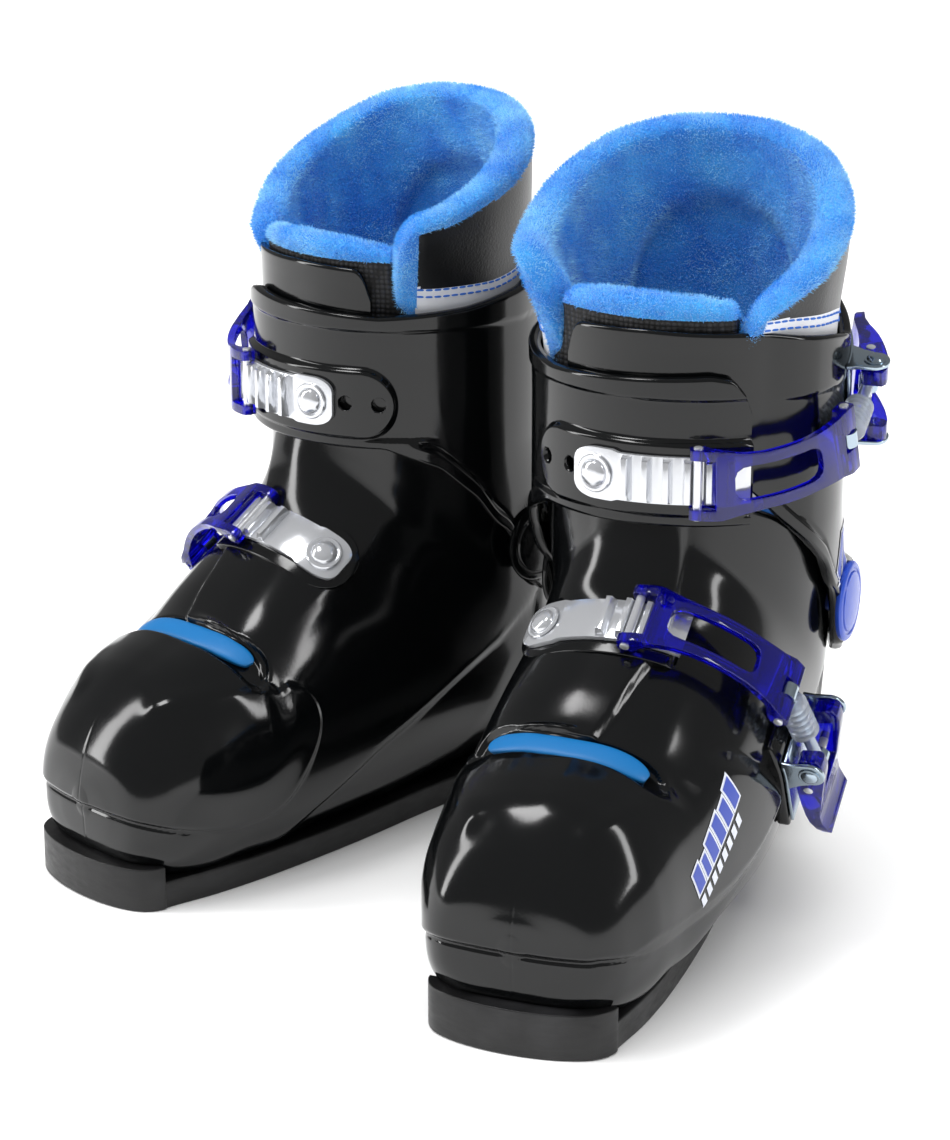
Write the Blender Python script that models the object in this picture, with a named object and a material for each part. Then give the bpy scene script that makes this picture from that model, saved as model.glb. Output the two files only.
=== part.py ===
"""A pair of junior alpine ski boots: moulded clog and cuff, soft liner, and two buckles on each boot.

Every length is in millimetres and becomes metres in to_world. A boot is described by three numbers:
forward (towards the toe), side (towards the outer, buckle side of the foot) and up. The left boot has
its outer side at +X and its toe at -Y. The right boot is the same design mirrored, then turned and set
down beside it.
"""

import math

import bmesh
import bpy
from mathutils import Matrix, Vector

MM = 0.001

# ---- Driving sizes of the boot, in millimetres --------------------------------------------------
SOLE_LENGTH = 256.0        # toe lug to heel lug, the length a binding is set to
TOE_LUG_WIDTH = 69.0
TOE_LUG_HEIGHT = 17.0
TOE_LUG_DEPTH = 14.0
HEEL_LUG_WIDTH = 64.0
HEEL_LUG_HEIGHT = 25.0
HEEL_LUG_DEPTH = 24.0
LUG_STEP = 1.4             # the lugs stand proud of the sole between them
LUG_EDGE = 0.4             # and start this far off the ground
SOLE_HEIGHT = 11.0

SHELL_WALL = 4.0           # wall of the clog
CUFF_WALL = 3.5            # wall of the cuff
FIT_GAP = 0.4              # between pieces that touch

LEG_FORWARD = -42.0        # axis of the cuff, measured from the middle of the sole
LEG_SIDE = 6.0
CUFF_RADIUS = 57.0         # outside of the cuff at the buckle
CUFF_FRONT_BOTTOM = 154.0
CUFF_SIDE_BOTTOM = 84.0
CUFF_FLAP_TOP = 205.0      # top of the outer flap
CUFF_INNER_TOP = 222.0     # top of the inner flap, seen above the outer one
CUFF_SPINE_TOP = 238.0     # top of the cuff at the back
CUFF_NOTCH_TOP = 212.0     # the low point between the inner flap and the spine

PIVOT_FORWARD = -62.0      # ankle rivets that the cuff turns about
PIVOT_UP = 108.0
PIVOT_CAP_RADIUS = 15.0
PIVOT_CAP_THICKNESS = 3.0
PIVOT_SHANK_RADIUS = 4.5
FLEX_DEGREES = 8.0         # the collar's underside clears this much forward flex

LINER_WALL = 6.0
LAST_SHIFT = 3.5           # the foot sits this far to the outer side of the sole's middle
LINER_GAP = 0.8            # between the liner's foot and the clog
COLLAR_WALL = 11.0
COLLAR_GAP = 1.0           # between the collar and the cuff
COLLAR_BACK_TOP = 286.0
COLLAR_FRONT_TOP = 226.0
TONGUE_TOP = 234.0
TONGUE_HALF_ANGLE = 42.0   # degrees either side of the front that the tongue covers
LINER_FLOOR = 17.0         # underside of the liner above the ground
BOARD_THICKNESS = 5.0
FOOTBED_THICKNESS = 3.0

# ---- Buckle sizes, shared by all four buckles ---------------------------------------------------
# A rise is a height above the shell that the buckle sits on.
LADDER_WIDTH = 17.0
LADDER_PLATE = 1.8
LADDER_TAIL = 8.0          # ladder beyond its rivet
LADDER_HEEL = 6.0          # flat ladder beyond its last tooth
TOOTH_PITCH = 7.2
TOOTH_LENGTH = 3.2
TOOTH_HEIGHT = 2.6
STRAP_PAD_RISE = 2.2       # raised pad of the shell under the ladder
STRAP_PAD_WIDTH = 27.0
STRAP_HOLE_PITCH = 12.8
STRAP_HOLE_RADIUS = 2.6
RIVET_RADIUS = 2.3
RIVET_HEAD = 5.0
RIVET_DOME = 2.4
RIVET_DEPTH = 1.5          # how far a rivet's shank reaches into the shell
PIN_RADIUS = 1.6
PIN_GAP = 0.25             # radial clearance round a pin
PIN_END = 0.8              # a pin stands out this far on each side
HOOK_RISE = 6.3
BAIL_PIN_RISE = 8.0
CRANK_PIN_RISE = 8.0       # pin that joins the adjuster to the lever
PIVOT_RISE = 10.2          # the lever's own pivot, on the base
BAIL_WIDTH = 25.0
BAIL_WAIST = 21.0
BAIL_REACH = 64.0          # hook pin to bail pin, along the curve
WEB_RISE = (7.7, 10.4)     # the bail between its ends
WINDOW_WIDTH = 12.0
WINDOW_ENDS = (14.0, 44.0)
EAR_WALL = 1.0             # least plastic round the bail's pins
ADJUSTER_REACH = 38.0      # bail pin to crank pin, along the curve
EYE_RADIUS = 3.6
EYE_WIDTH = 6.4
LINK_RADIUS = 2.2
BARREL_RADIUS = 4.6
BARREL_ENDS = (6.0, 20.0)
BARREL_RIBS = 4
LEVER_CRANK = 12.0         # lever pivot to crank pin, along the curve
LEVER_WIDTH = 29.0
LEVER_SLOT = 17.0          # between the lever's arms, where the adjuster lies
# The lever's side view: distance behind its pivot, then lower and upper rise.
LEVER_PROFILE = (
    (-5.0, 6.4, 14.0),
    (0.0, 5.2, 15.0),
    (12.0, 3.6, 13.2),
    (22.0, 4.4, 11.6),
    (33.0, 5.6, 10.4),
    (40.0, 8.2, 12.6),
)
LEVER_SLOT_END = 19.0
EAR_THICKNESS = 1.6
EAR_RADIUS = 5.0
STUB_RADIUS = 2.1
STUB_HEAD = 3.6
STUB_HEAD_RISE = 1.2
BASE_PLATE = 1.2
BASE_ENDS = (-4.0, 30.0)
INSTEP_PANEL = 5.0         # depth of the raised panel that carries the instep buckle

# ---- Where the buckles sit: surface radius, then angles in degrees from the front ---------------
CUFF_BUCKLE_UP = 172.0
CUFF_BUCKLE = {"surface": CUFF_RADIUS, "rivet": -14.4, "hook": 20.6, "teeth": 4,
               "pad": (-46.0, 38.0), "lean": 16.0}
INSTEP_BUCKLE = {"surface": 55.5, "rivet": -30.0, "hook": 5.0, "teeth": 2,
                 "pad": (-43.0, 20.0), "lean": 0.0}
INSTEP_CENTRE = (-2.9, 5.0, 73.1)
INSTEP_AXIS = (-0.84, 0.0, 0.54)
INSTEP_FLAT_FROM = 92.0    # degrees from the front at which the clog's side turns flat
TEETH_BEYOND_HOOK = 1

# ---- How the pair stands -------------------------------------------------------------------------
RIGHT_BOOT_PLACE = (-141.0, 52.1)   # mm, from the middle of the left sole
RIGHT_BOOT_TURN = -25.4             # degrees about the vertical

# ---- Shape of the clog, toe to neck --------------------------------------------------------------
# Each row is one cut through the clog: its top (forward, up), its bottom (forward, up), the side
# offset of its middle, its half width, the share of its height where it is widest, and how square
# its upper and lower halves are (2 is an ellipse).
CLOG_CUTS = (
    (122.0, 50.0, 122.0, 28.0, 0.0, 15.0, 0.50, 2.0, 2.0),
    (119.0, 59.0, 120.0, 18.0, 0.0, 26.5, 0.48, 2.2, 2.4),
    (112.5, 69.0, 115.5, 10.0, 0.0, 34.0, 0.46, 2.3, 2.8),
    (103.0, 77.0, 106.0, 5.0, 0.0, 39.0, 0.45, 2.4, 3.0),
    (90.0, 83.0, 92.0, 4.0, 0.5, 42.5, 0.44, 2.5, 3.0),
    (76.0, 87.5, 75.0, 4.0, 1.0, 45.0, 0.43, 2.6, 3.0),
    (63.0, 93.5, 57.0, 4.0, 2.0, 47.5, 0.42, 2.6, 3.0),
    (50.0, 103.0, 37.0, 4.0, 3.5, 49.5, 0.42, 2.5, 2.8),
    (37.0, 111.5, 10.0, 4.0, 5.0, 51.0, 0.44, 2.4, 2.6),
    (26.0, 119.0, -20.0, 4.0, 6.0, 51.5, 0.47, 2.3, 2.4),
    (18.0, 128.0, -54.0, 4.0, 6.0, 50.0, 0.50, 2.2, 2.2),
    (14.5, 138.0, -88.0, 5.0, 6.0, 48.5, 0.52, 2.1, 2.2),
    (12.4, 147.0, -110.0, 20.0, 6.0, 48.5, 0.52, 2.0, 2.1),
    (10.6, 154.5, -112.0, 56.0, 6.0, 50.5, 0.51, 2.0, 2.0),
    (9.6, 160.5, -104.0, 86.0, 6.0, 51.5, 0.50, 2.0, 2.0),
    (9.2, 165.0, -94.3, 108.0, 6.0, 52.0, 0.50, 2.0, 2.0),
)
CLOG_COLUMNS = 24

# Cuts across the leg: height, forward position of the middle, half length, half width, squareness.
LEG_CUTS = (
    (70.0, -46.0, 58.0, 54.0, 2.6),
    (108.0, -44.0, 57.0, 56.0, 2.5),
    (150.0, LEG_FORWARD, CUFF_RADIUS, CUFF_RADIUS, 2.0),
    (190.0, LEG_FORWARD, CUFF_RADIUS, CUFF_RADIUS, 2.0),
    (215.0, LEG_FORWARD + 1.0, CUFF_RADIUS - 1.0, CUFF_RADIUS + 0.5, 2.0),
    (240.0, LEG_FORWARD + 3.0, CUFF_RADIUS - 2.5, CUFF_RADIUS + 1.5, 2.0),
    (290.0, LEG_FORWARD + 8.0, CUFF_RADIUS - 4.0, CUFF_RADIUS + 2.0, 2.0),
)
# Edges of the cuff as (degrees from the front, height). The cuff is one wall that overlaps itself at
# the front: it starts at the inner flap's edge and runs round the outer side, the back and the inner
# side to the outer flap's edge.
INNER_FLAP_EDGE = -36.0
OUTER_FLAP_EDGE = 400.0
FLAP_WALL = 2.6
CUFF_LOW_EDGE = (
    (-36.0, 184.0), (30.0, 184.0), (48.0, 182.0), (62.0, 147.0), (80.0, 132.0), (93.0, 114.0),
    (103.0, 91.0), (113.0, CUFF_SIDE_BOTTOM), (124.0, CUFF_SIDE_BOTTOM + 2.0), (140.0, 98.0),
    (160.0, 109.0), (180.0, 112.0), (200.0, 109.0), (220.0, 98.0),
    (236.0, CUFF_SIDE_BOTTOM + 2.0), (247.0, CUFF_SIDE_BOTTOM), (257.0, 91.0), (267.0, 114.0),
    (280.0, 132.0), (297.0, 146.0), (318.0, CUFF_FRONT_BOTTOM), (400.0, CUFF_FRONT_BOTTOM),
)
CUFF_TOP_EDGE = (
    (-36.0, CUFF_INNER_TOP - 6.0), (-30.0, CUFF_INNER_TOP), (0.0, CUFF_INNER_TOP + 1.0),
    (45.0, CUFF_INNER_TOP), (80.0, 217.0), (104.0, CUFF_NOTCH_TOP), (130.0, 222.0), (155.0, 234.0),
    (180.0, CUFF_SPINE_TOP), (205.0, 234.0), (230.0, 222.0), (256.0, CUFF_NOTCH_TOP),
    (285.0, 208.0), (320.0, CUFF_FLAP_TOP), (385.0, CUFF_FLAP_TOP + 3.0), (396.0, CUFF_FLAP_TOP),
    (400.0, CUFF_FLAP_TOP - 9.0),
)
COLLAR_TOP_EDGE = (
    (40.0, COLLAR_FRONT_TOP), (55.0, 236.0), (75.0, 250.0), (100.0, 265.0), (125.0, 275.0),
    (150.0, 283.0), (180.0, COLLAR_BACK_TOP), (210.0, 283.0), (235.0, 275.0), (260.0, 265.0),
    (285.0, 250.0), (305.0, 238.0), (320.0, COLLAR_FRONT_TOP),
)
CUFF_STEPS = 44
CUFF_ROWS = 6

# Ankle rivets: the side offset of the cuff's flat boss, and where that boss starts.
PIVOT_FACES = {"lateral": (62.0, 58.4), "medial": (-50.0, -46.6)}
PIVOT_SHANK_ENDS = {"lateral": 54.6, "medial": -42.6}

GASKET_PLACE = 5.72        # counted in cuts of the clog
GASKET_LENGTH = 0.28
GASKET_HALF_ANGLE = math.radians(52.0)
GASKET_SEAT = 2.0
GASKET_RISE = 1.4

# The sole's outline on one side, toe to heel: (forward, half width).
SOLE_OUTLINE = (
    (SOLE_LENGTH / 2, 0.0),
    (SOLE_LENGTH / 2 - 1.0, 14.0),
    (SOLE_LENGTH / 2 - 4.0, 25.0),
    (SOLE_LENGTH / 2 - 9.0, TOE_LUG_WIDTH / 2 - 2.0),
    (SOLE_LENGTH / 2 - 16.0, TOE_LUG_WIDTH / 2),
    (88.0, 37.5),
    (60.0, 38.5),
    (20.0, 37.0),
    (-25.0, 33.0),
    (-70.0, HEEL_LUG_WIDTH / 2),
    (-SOLE_LENGTH / 2 + 16.0, HEEL_LUG_WIDTH / 2),
    (-SOLE_LENGTH / 2 + 6.0, HEEL_LUG_WIDTH / 2 - 7.0),
    (-SOLE_LENGTH / 2 + 1.0, HEEL_LUG_WIDTH / 2 - 18.0),
    (-SOLE_LENGTH / 2, 0.0),
)


MOST_BEND = math.radians(6.0)   # a curved strip is cut at least this often


# ---- Small geometry helpers ----------------------------------------------------------------------
def clear_scene():
    for thing in list(bpy.data.objects):
        bpy.data.objects.remove(thing, do_unlink=True)


def smoothstep(low, high, value):
    """0 below low, 1 above high, and an even rise between."""
    share = min(max((value - low) / (high - low), 0.0), 1.0)
    return share * share * (3.0 - 2.0 * share)


def blend_rows(rows, place):
    """The row at a fractional index, on a smooth curve through the rows."""
    first = min(int(place), len(rows) - 2)
    share = place - first
    before = rows[max(first - 1, 0)]
    after = rows[min(first + 2, len(rows) - 1)]
    blended = []
    for a, b, c, d in zip(before, rows[first], rows[first + 1], after):
        slope_in = (c - a) / 2.0
        slope_out = (d - b) / 2.0
        rise = c - b
        cubic = slope_in + slope_out - 2.0 * rise
        square = 3.0 * rise - 2.0 * slope_in - slope_out
        blended.append(b + share * (slope_in + share * (square + share * cubic)))
    return blended


def row_at_height(rows, height):
    """The row of a table, keyed by its first value, at a height between two of its rows."""
    for lower, upper in zip(rows, rows[1:]):
        if height <= upper[0] or upper is rows[-1]:
            share = (height - lower[0]) / (upper[0] - lower[0])
            return [a + share * (b - a) for a, b in zip(lower, upper)]
    return list(rows[-1])


def signed_power(value, power):
    return math.copysign(abs(value) ** power, value)


def clog_ring(cut):
    """One closed ring of points (forward, side, up) round the clog."""
    top_f, top_u, low_f, low_u, middle, half, widest, square_up, square_low = cut
    ring = []
    for column in range(CLOG_COLUMNS):
        angle = 2.0 * math.pi * column / CLOG_COLUMNS
        across = math.sin(angle)
        along = math.cos(angle)
        square = square_up if along >= 0.0 else square_low
        reach = (1.0 - widest) if along >= 0.0 else widest
        share = widest + reach * signed_power(along, 2.0 / square)
        ring.append(Vector((
            low_f + share * (top_f - low_f),
            middle + half * signed_power(across, 2.0 / square),
            low_u + share * (top_u - low_u),
        )))
    return ring


def grid_normals(rings):
    """Outward unit normals of a tube of rings."""
    normals = []
    count = len(rings[0])
    for row, ring in enumerate(rings):
        above = rings[min(row + 1, len(rings) - 1)]
        below = rings[max(row - 1, 0)]
        line = []
        for column in range(count):
            around = ring[(column + 1) % count] - ring[column - 1]
            along = above[column] - below[column]
            normal = around.cross(along)
            line.append(normal.normalized())
        normals.append(line)
    return normals


def inset_rings(rings, depth):
    """The tube moved inwards by a depth."""
    normals = grid_normals(rings)
    centre = sum((sum(ring, Vector()) for ring in rings), Vector())
    centre /= len(rings) * len(rings[0])
    moved = []
    for ring, line in zip(rings, normals):
        middle = sum(ring, Vector()) / len(ring)
        sign = 1.0 if (ring[0] - middle).dot(line[0]) > 0.0 else -1.0
        moved.append([point - normal * depth * sign for point, normal in zip(ring, line)])
    return moved


def leg_point(angle, height, inset=0.0):
    """A point on the cuff's outside at an angle from the front, positive to the outer side."""
    _, middle, half_length, half_width, square = row_at_height(LEG_CUTS, height)
    return Vector((
        middle + (half_length - inset) * signed_power(math.cos(angle), 2.0 / square),
        LEG_SIDE + (half_width - inset) * signed_power(math.sin(angle), 2.0 / square),
        height,
    ))


class Wrap:
    """Polar coordinates round an axis: a buckle curves round it, with its pins along the axis."""

    def __init__(self, centre, pin_axis, front, surface, flat_from=math.pi, lean=0.0):
        self.centre = Vector(centre)
        self.surface = surface
        self.flat_from = flat_from
        self.lean = lean
        self.lean_start = 0.0
        self.pin_axis = Vector(pin_axis).normalized()
        front = Vector(front)
        self.front = (front - self.pin_axis * front.dot(self.pin_axis)).normalized()
        self.outer = self.pin_axis.cross(self.front) * -1.0
        if self.outer.y < 0.0:
            self.outer.negate()

    def leaning(self, lean, start):
        """The same curve, climbing to one side behind an angle, as the pull of the bail does."""
        other = Wrap(self.centre, self.pin_axis, self.front, self.surface, self.flat_from, lean)
        other.lean_start = start
        return other

    def point(self, radius, angle, along=0.0):
        """Round the axis as far as flat_from, then straight on down the shell's flat side."""
        scale = self.surface + BAIL_PIN_RISE
        run = max(angle - self.lean_start, 0.0) * scale
        share = min(run / BAIL_REACH, 1.0)
        turn = self.lean * share
        climb = self.lean * (run * share / 2.0 if share < 1.0 else run - BAIL_REACH / 2.0)
        angle -= along * math.sin(turn) / scale
        height = along * math.cos(turn) + climb
        bend = min(angle, self.flat_from)
        spoke = self.front * math.cos(bend) + self.outer * math.sin(bend)
        onward = self.outer * math.cos(bend) - self.front * math.sin(bend)
        straight = (angle - bend) * scale
        return self.centre + spoke * radius + onward * straight + self.pin_axis * height


# ---- Making objects ------------------------------------------------------------------------------
class Boot:
    """Collects the objects of one boot, in one boot's coordinates."""

    def __init__(self, name, mirror):
        self.name = name
        self.mirror = mirror
        self.pivots = {}
        self.helpers = []

    def to_world(self, point):
        return Vector((self.mirror * point[1], -point[0], point[2])) * MM

    def body(self, name, pivot, parent=None):
        """An empty on a joint's axis. The pieces that turn about it are its children."""
        empty = bpy.data.objects.new(f"{self.name}_{name}_axis", None)
        empty.empty_display_size = 0.01
        bpy.context.scene.collection.objects.link(empty)
        place = self.to_world(pivot)
        self.pivots[name] = (empty, place)
        if parent:
            empty.parent, origin = self.pivots[parent]
            empty.location = place - origin
        return empty

    def mesh(self, name, points, faces, material=None, body=None):
        """A closed mesh with its faces turned outwards."""
        data = bpy.data.meshes.new(f"{self.name}_{name}")
        data.from_pydata([self.to_world(p) for p in points], [], faces)
        shape = bmesh.new()
        shape.from_mesh(data)
        bmesh.ops.recalc_face_normals(shape, faces=shape.faces)
        if shape.calc_volume(signed=True) < 0.0:
            bmesh.ops.reverse_faces(shape, faces=shape.faces)
        shape.to_mesh(data)
        shape.free()
        made = bpy.data.objects.new(f"{self.name}_{name}", data)
        bpy.context.scene.collection.objects.link(made)
        if material:
            data.materials.append(material)
            data.shade_smooth()
            data.set_sharp_from_angle(angle=math.radians(35.0))
        else:
            made.hide_render = True
            made.display_type = "WIRE"
            self.helpers.append(made)
        if body:
            made.parent, origin = self.pivots[body]
            made.location = -origin
        return made

    def boolean(self, target, helper, operation, solver):
        helper.parent = target.parent
        helper.location = target.location
        step = target.modifiers.new(helper.name, "BOOLEAN")
        step.operation = operation
        step.object = helper
        step.solver = solver

    def cut(self, target, *helpers, solver="EXACT"):
        for helper in helpers:
            self.boolean(target, helper, "DIFFERENCE", solver)

    def fuse(self, target, *helpers):
        for helper in helpers:
            self.boolean(target, helper, "UNION", "EXACT")


def loft(rings, capped=True):
    """Points and faces of a tube through rings of equal length, with flat or fanned ends."""
    count = len(rings[0])
    points = [point for ring in rings for point in ring]
    faces = []
    last = len(rings) if not capped else len(rings) - 1
    for row in range(last):
        low = row * count
        high = (row + 1) % len(rings) * count
        for column in range(count):
            beside = (column + 1) % count
            faces.append((low + column, low + beside, high + beside, high + column))
    if capped:
        faces.append(tuple(reversed(range(count))))
        faces.append(tuple(range(len(points) - count, len(points))))
    return points, faces


def strip_rings(wrap, stations):
    """Four-cornered rings along a buckle piece: (angle, inner radius, outer radius, half width)."""
    close = [stations[0]]
    for before, after in zip(stations, stations[1:]):
        parts = max(1, math.ceil((after[0] - before[0]) / MOST_BEND))
        for part in range(1, parts + 1):
            close.append([a + (b - a) * part / parts for a, b in zip(before, after)])
    rings = []
    for angle, inner, outer, half in close:
        rings.append([
            wrap.point(inner, angle, -half),
            wrap.point(inner, angle, half),
            wrap.point(outer, angle, half),
            wrap.point(outer, angle, -half),
        ])
    return rings


def block(wrap, angle_0, angle_1, inner, outer, along_0, along_1, steps=2):
    """A curved block in a buckle's coordinates."""
    rings = []
    for step in range(steps + 1):
        angle = angle_0 + (angle_1 - angle_0) * step / steps
        rings.append([
            wrap.point(inner, angle, along_0),
            wrap.point(inner, angle, along_1),
            wrap.point(outer, angle, along_1),
            wrap.point(outer, angle, along_0),
        ])
    return loft(rings)


def turned(start, end, profile, sides=12, capped=True):
    """A turned piece: profile is (distance from start, radius), along the line from start to end."""
    axis = (end - start).normalized()
    helper = Vector((1.0, 0.0, 0.0)) if abs(axis.x) < 0.8 else Vector((0.0, 0.0, 1.0))
    across = axis.cross(helper).normalized()
    other = axis.cross(across)
    rings = []
    for distance, radius in profile:
        ring = []
        for side in range(sides):
            angle = 2.0 * math.pi * side / sides
            ring.append(start + axis * distance
                        + (across * math.cos(angle) + other * math.sin(angle)) * radius)
        rings.append(ring)
    return loft(rings, capped)


def rod(start, end, radius, sides=12):
    length = (end - start).length
    return turned(start, end, ((0.0, radius), (length, radius)), sides)


def domed_rivet(start, end, shank, head, dome):
    """A rivet whose domed head is at the end of its shank."""
    length = (end - start).length
    return turned(start, end, (
        (0.0, shank),
        (length - dome, shank),
        (length - dome, head),
        (length - dome * 0.45, head * 0.86),
        (length, head * 0.35),
    ))


# ---- Materials -----------------------------------------------------------------------------------
def make_material(name, colour, roughness, metallic=0.0, alpha=1.0):
    material = bpy.data.materials.new(name)
    material.use_nodes = True
    shader = material.node_tree.nodes["Principled BSDF"]
    shader.inputs["Base Color"].default_value = (*colour, 1.0)
    shader.inputs["Roughness"].default_value = roughness
    shader.inputs["Metallic"].default_value = metallic
    shader.inputs["Alpha"].default_value = alpha
    return material


def make_materials():
    return {
        "shell": make_material("black_polyurethane", (0.012, 0.012, 0.014), 0.12),
        "gasket": make_material("blue_rubber", (0.02, 0.20, 0.58), 0.5),
        "board": make_material("grey_foam_board", (0.25, 0.25, 0.26), 0.8),
        "footbed": make_material("footbed_fabric", (0.05, 0.05, 0.06), 0.9),
        "fleece": make_material("blue_fleece", (0.03, 0.25, 0.80), 0.95),
        "tongue": make_material("black_mesh_fabric", (0.02, 0.02, 0.02), 0.8),
        "chrome": make_material("chrome_steel", (0.80, 0.80, 0.81), 0.12, 1.0),
        "zinc": make_material("zinc_plated_steel", (0.62, 0.66, 0.70), 0.25, 1.0),
        "lever": make_material("blue_polycarbonate", (0.01, 0.01, 0.35), 0.08),
        "clear": make_material("clear_polycarbonate", (0.85, 0.87, 0.90), 0.08),
        "cap": make_material("blue_cap", (0.03, 0.10, 0.55), 0.3),
    }


# ---- Clog, gasket, boards and the liner's foot ----------------------------------------------------
def clog_rings(inset=0.0, rows=15, first=0.0):
    last = len(CLOG_CUTS) - 1
    places = [first + (last - first) * row / rows for row in range(rows + 1)]
    rings = [clog_ring(blend_rows(CLOG_CUTS, place)) for place in places]
    return inset_rings(rings, inset) if inset else rings


def raise_floor(rings, floor):
    return [[Vector((p.x, p.y, max(p.z, floor))) for p in ring] for ring in rings]


def extended(rings, distance):
    """The rings with one more ring beyond the last, along the tube."""
    last, before = rings[-1], rings[-2]
    middle = sum(last, Vector()) / len(last)
    direction = (middle - sum(before, Vector()) / len(before)).normalized()
    return rings + [[point + direction * distance for point in last]]


def sole_prism(low, high, start, end, grow=0.0, shift=0.0):
    """A slab of the sole between two forward positions."""
    half = []
    for (f0, s0), (f1, s1) in zip(SOLE_OUTLINE, SOLE_OUTLINE[1:]):
        for forward, side in ((f0, s0), (f1, s1)):
            if end <= forward <= start:
                half.append((forward, side))
        for limit in (start, end):
            if min(f0, f1) < limit < max(f0, f1):
                half.append((limit, s0 + (s1 - s0) * (limit - f0) / (f1 - f0)))
    half = sorted(set(half), key=lambda point: (-point[0], point[1] if point[0] > 0 else -point[1]))
    outline = [(f, s + grow) for f, s in half if s > 0.0]
    ring = [(f, s) for f, s in outline]
    if half[0][1] == 0.0:
        ring.insert(0, half[0])
    ring += [(f, -s) for f, s in reversed(outline)]
    if half[-1][1] == 0.0:
        ring.insert(len(outline) + (half[0][1] == 0.0), half[-1])
    rings = [[Vector((f, s + shift, height)) for f, s in ring] for height in (low, high)]
    return loft(rings)


def build_clog(boot, paint):
    shell = boot.mesh("lower_shell", *loft(clog_rings()), paint["shell"], "shell")
    heel = -SOLE_LENGTH / 2
    toe = SOLE_LENGTH / 2
    block_shape = sole_prism(0.0, SOLE_HEIGHT, toe - LUG_STEP, heel + LUG_STEP, -LUG_STEP / 2.0)
    toe_lug = sole_prism(LUG_EDGE, TOE_LUG_HEIGHT, toe, toe - TOE_LUG_DEPTH)
    heel_lug = sole_prism(LUG_EDGE, HEEL_LUG_HEIGHT, heel + HEEL_LUG_DEPTH, heel)
    boot.fuse(
        shell,
        boot.mesh("sole_block", *block_shape),
        boot.mesh("toe_lug", *toe_lug),
        boot.mesh("heel_lug", *heel_lug),
    )
    return shell


def build_boards(boot, paint):
    """The removable boot board under the liner and the footbed inside it."""
    low = LINER_FLOOR - FIT_GAP - BOARD_THICKNESS
    outline = sole_prism(low, low + BOARD_THICKNESS, 88.0, -76.0, -19.5, LAST_SHIFT + 1.5)
    boot.mesh("boot_board", *outline, paint["board"], "shell")
    base = LINER_FLOOR + LINER_WALL + FIT_GAP
    outline = sole_prism(base, base + FOOTBED_THICKNESS, 84.0, -76.0, -19.0, LAST_SHIFT)
    boot.mesh("footbed", *outline, paint["footbed"], "shell")


def clog_point(place, angle, depth=0.0):
    """A point on the clog at a fractional cut, an angle from its top, and a depth below the surface."""
    cut = blend_rows(CLOG_CUTS, place)

    def at(p, a):
        top_f, top_u, low_f, low_u, middle, half, widest, up, low = blend_rows(CLOG_CUTS, p)
        square = up if math.cos(a) >= 0.0 else low
        reach = (1.0 - widest) if math.cos(a) >= 0.0 else widest
        share = widest + reach * signed_power(math.cos(a), 2.0 / square)
        side = middle + half * signed_power(math.sin(a), 2.0 / square)
        return Vector((low_f + share * (top_f - low_f), side, low_u + share * (top_u - low_u)))

    spot = at(place, angle)
    step = 0.02
    along = at(place + step, angle) - at(place - step, angle)
    around = at(place, angle + step) - at(place, angle - step)
    normal = around.cross(along).normalized()
    heart = Vector(((cut[0] + cut[2]) / 2.0, cut[4], (cut[1] + cut[3]) / 2.0))
    if normal.dot(spot - heart) < 0.0:
        normal.negate()
    return spot - normal * depth


def gasket_strip(grow):
    """The blue seal across the instep, set into a groove of the clog."""
    rings = []
    for step in range(13):
        angle = (step / 12.0 - 0.5) * 2.0 * (GASKET_HALF_ANGLE + math.radians(grow))
        ends = [
            clog_point(place, angle, depth)
            for place, depth in (
                (GASKET_PLACE - grow * 0.03, GASKET_SEAT + grow),
                (GASKET_PLACE + GASKET_LENGTH + grow * 0.03, GASKET_SEAT + grow),
                (GASKET_PLACE + GASKET_LENGTH + grow * 0.03, -GASKET_RISE - grow * 3.0),
                (GASKET_PLACE - grow * 0.03, -GASKET_RISE - grow * 3.0),
            )
        ]
        rings.append(ends)
    return loft(rings)


def build_liner_foot(boot, paint):
    depth = SHELL_WALL + LINER_GAP
    outer = raise_floor(clog_rings(depth), LINER_FLOOR)
    foot = boot.mesh("liner_foot", *loft(outer), paint["fleece"], "shell")
    inner = extended(raise_floor(clog_rings(depth + LINER_WALL), LINER_FLOOR + LINER_WALL), 4.0)
    boot.cut(foot, boot.mesh("foot_space", *loft(inner)))


# ---- Cuff, liner collar and tongue ----------------------------------------------------------------
def edge_height(table, degrees):
    return row_at_height(table, degrees)[1]


def flap_inset(degrees):
    """How far the cuff's outside stands inside its outline: the inner flap tucks under the outer."""
    tuck = CUFF_WALL + FIT_GAP
    return tuck * (1.0 - smoothstep(46.0, 70.0, degrees))


def lining_inset(degrees):
    """Depth of the liner's outside below the cuff's outline."""
    turn = (degrees + 180.0) % 360.0 - 180.0
    plain = CUFF_WALL + COLLAR_GAP
    tucked = CUFF_WALL + FIT_GAP + FLAP_WALL + COLLAR_GAP
    share = 1.0 - smoothstep(52.0, 76.0, turn) if turn > 0.0 else smoothstep(-56.0, -40.0, turn)
    return plain + (tucked - plain) * share


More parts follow.
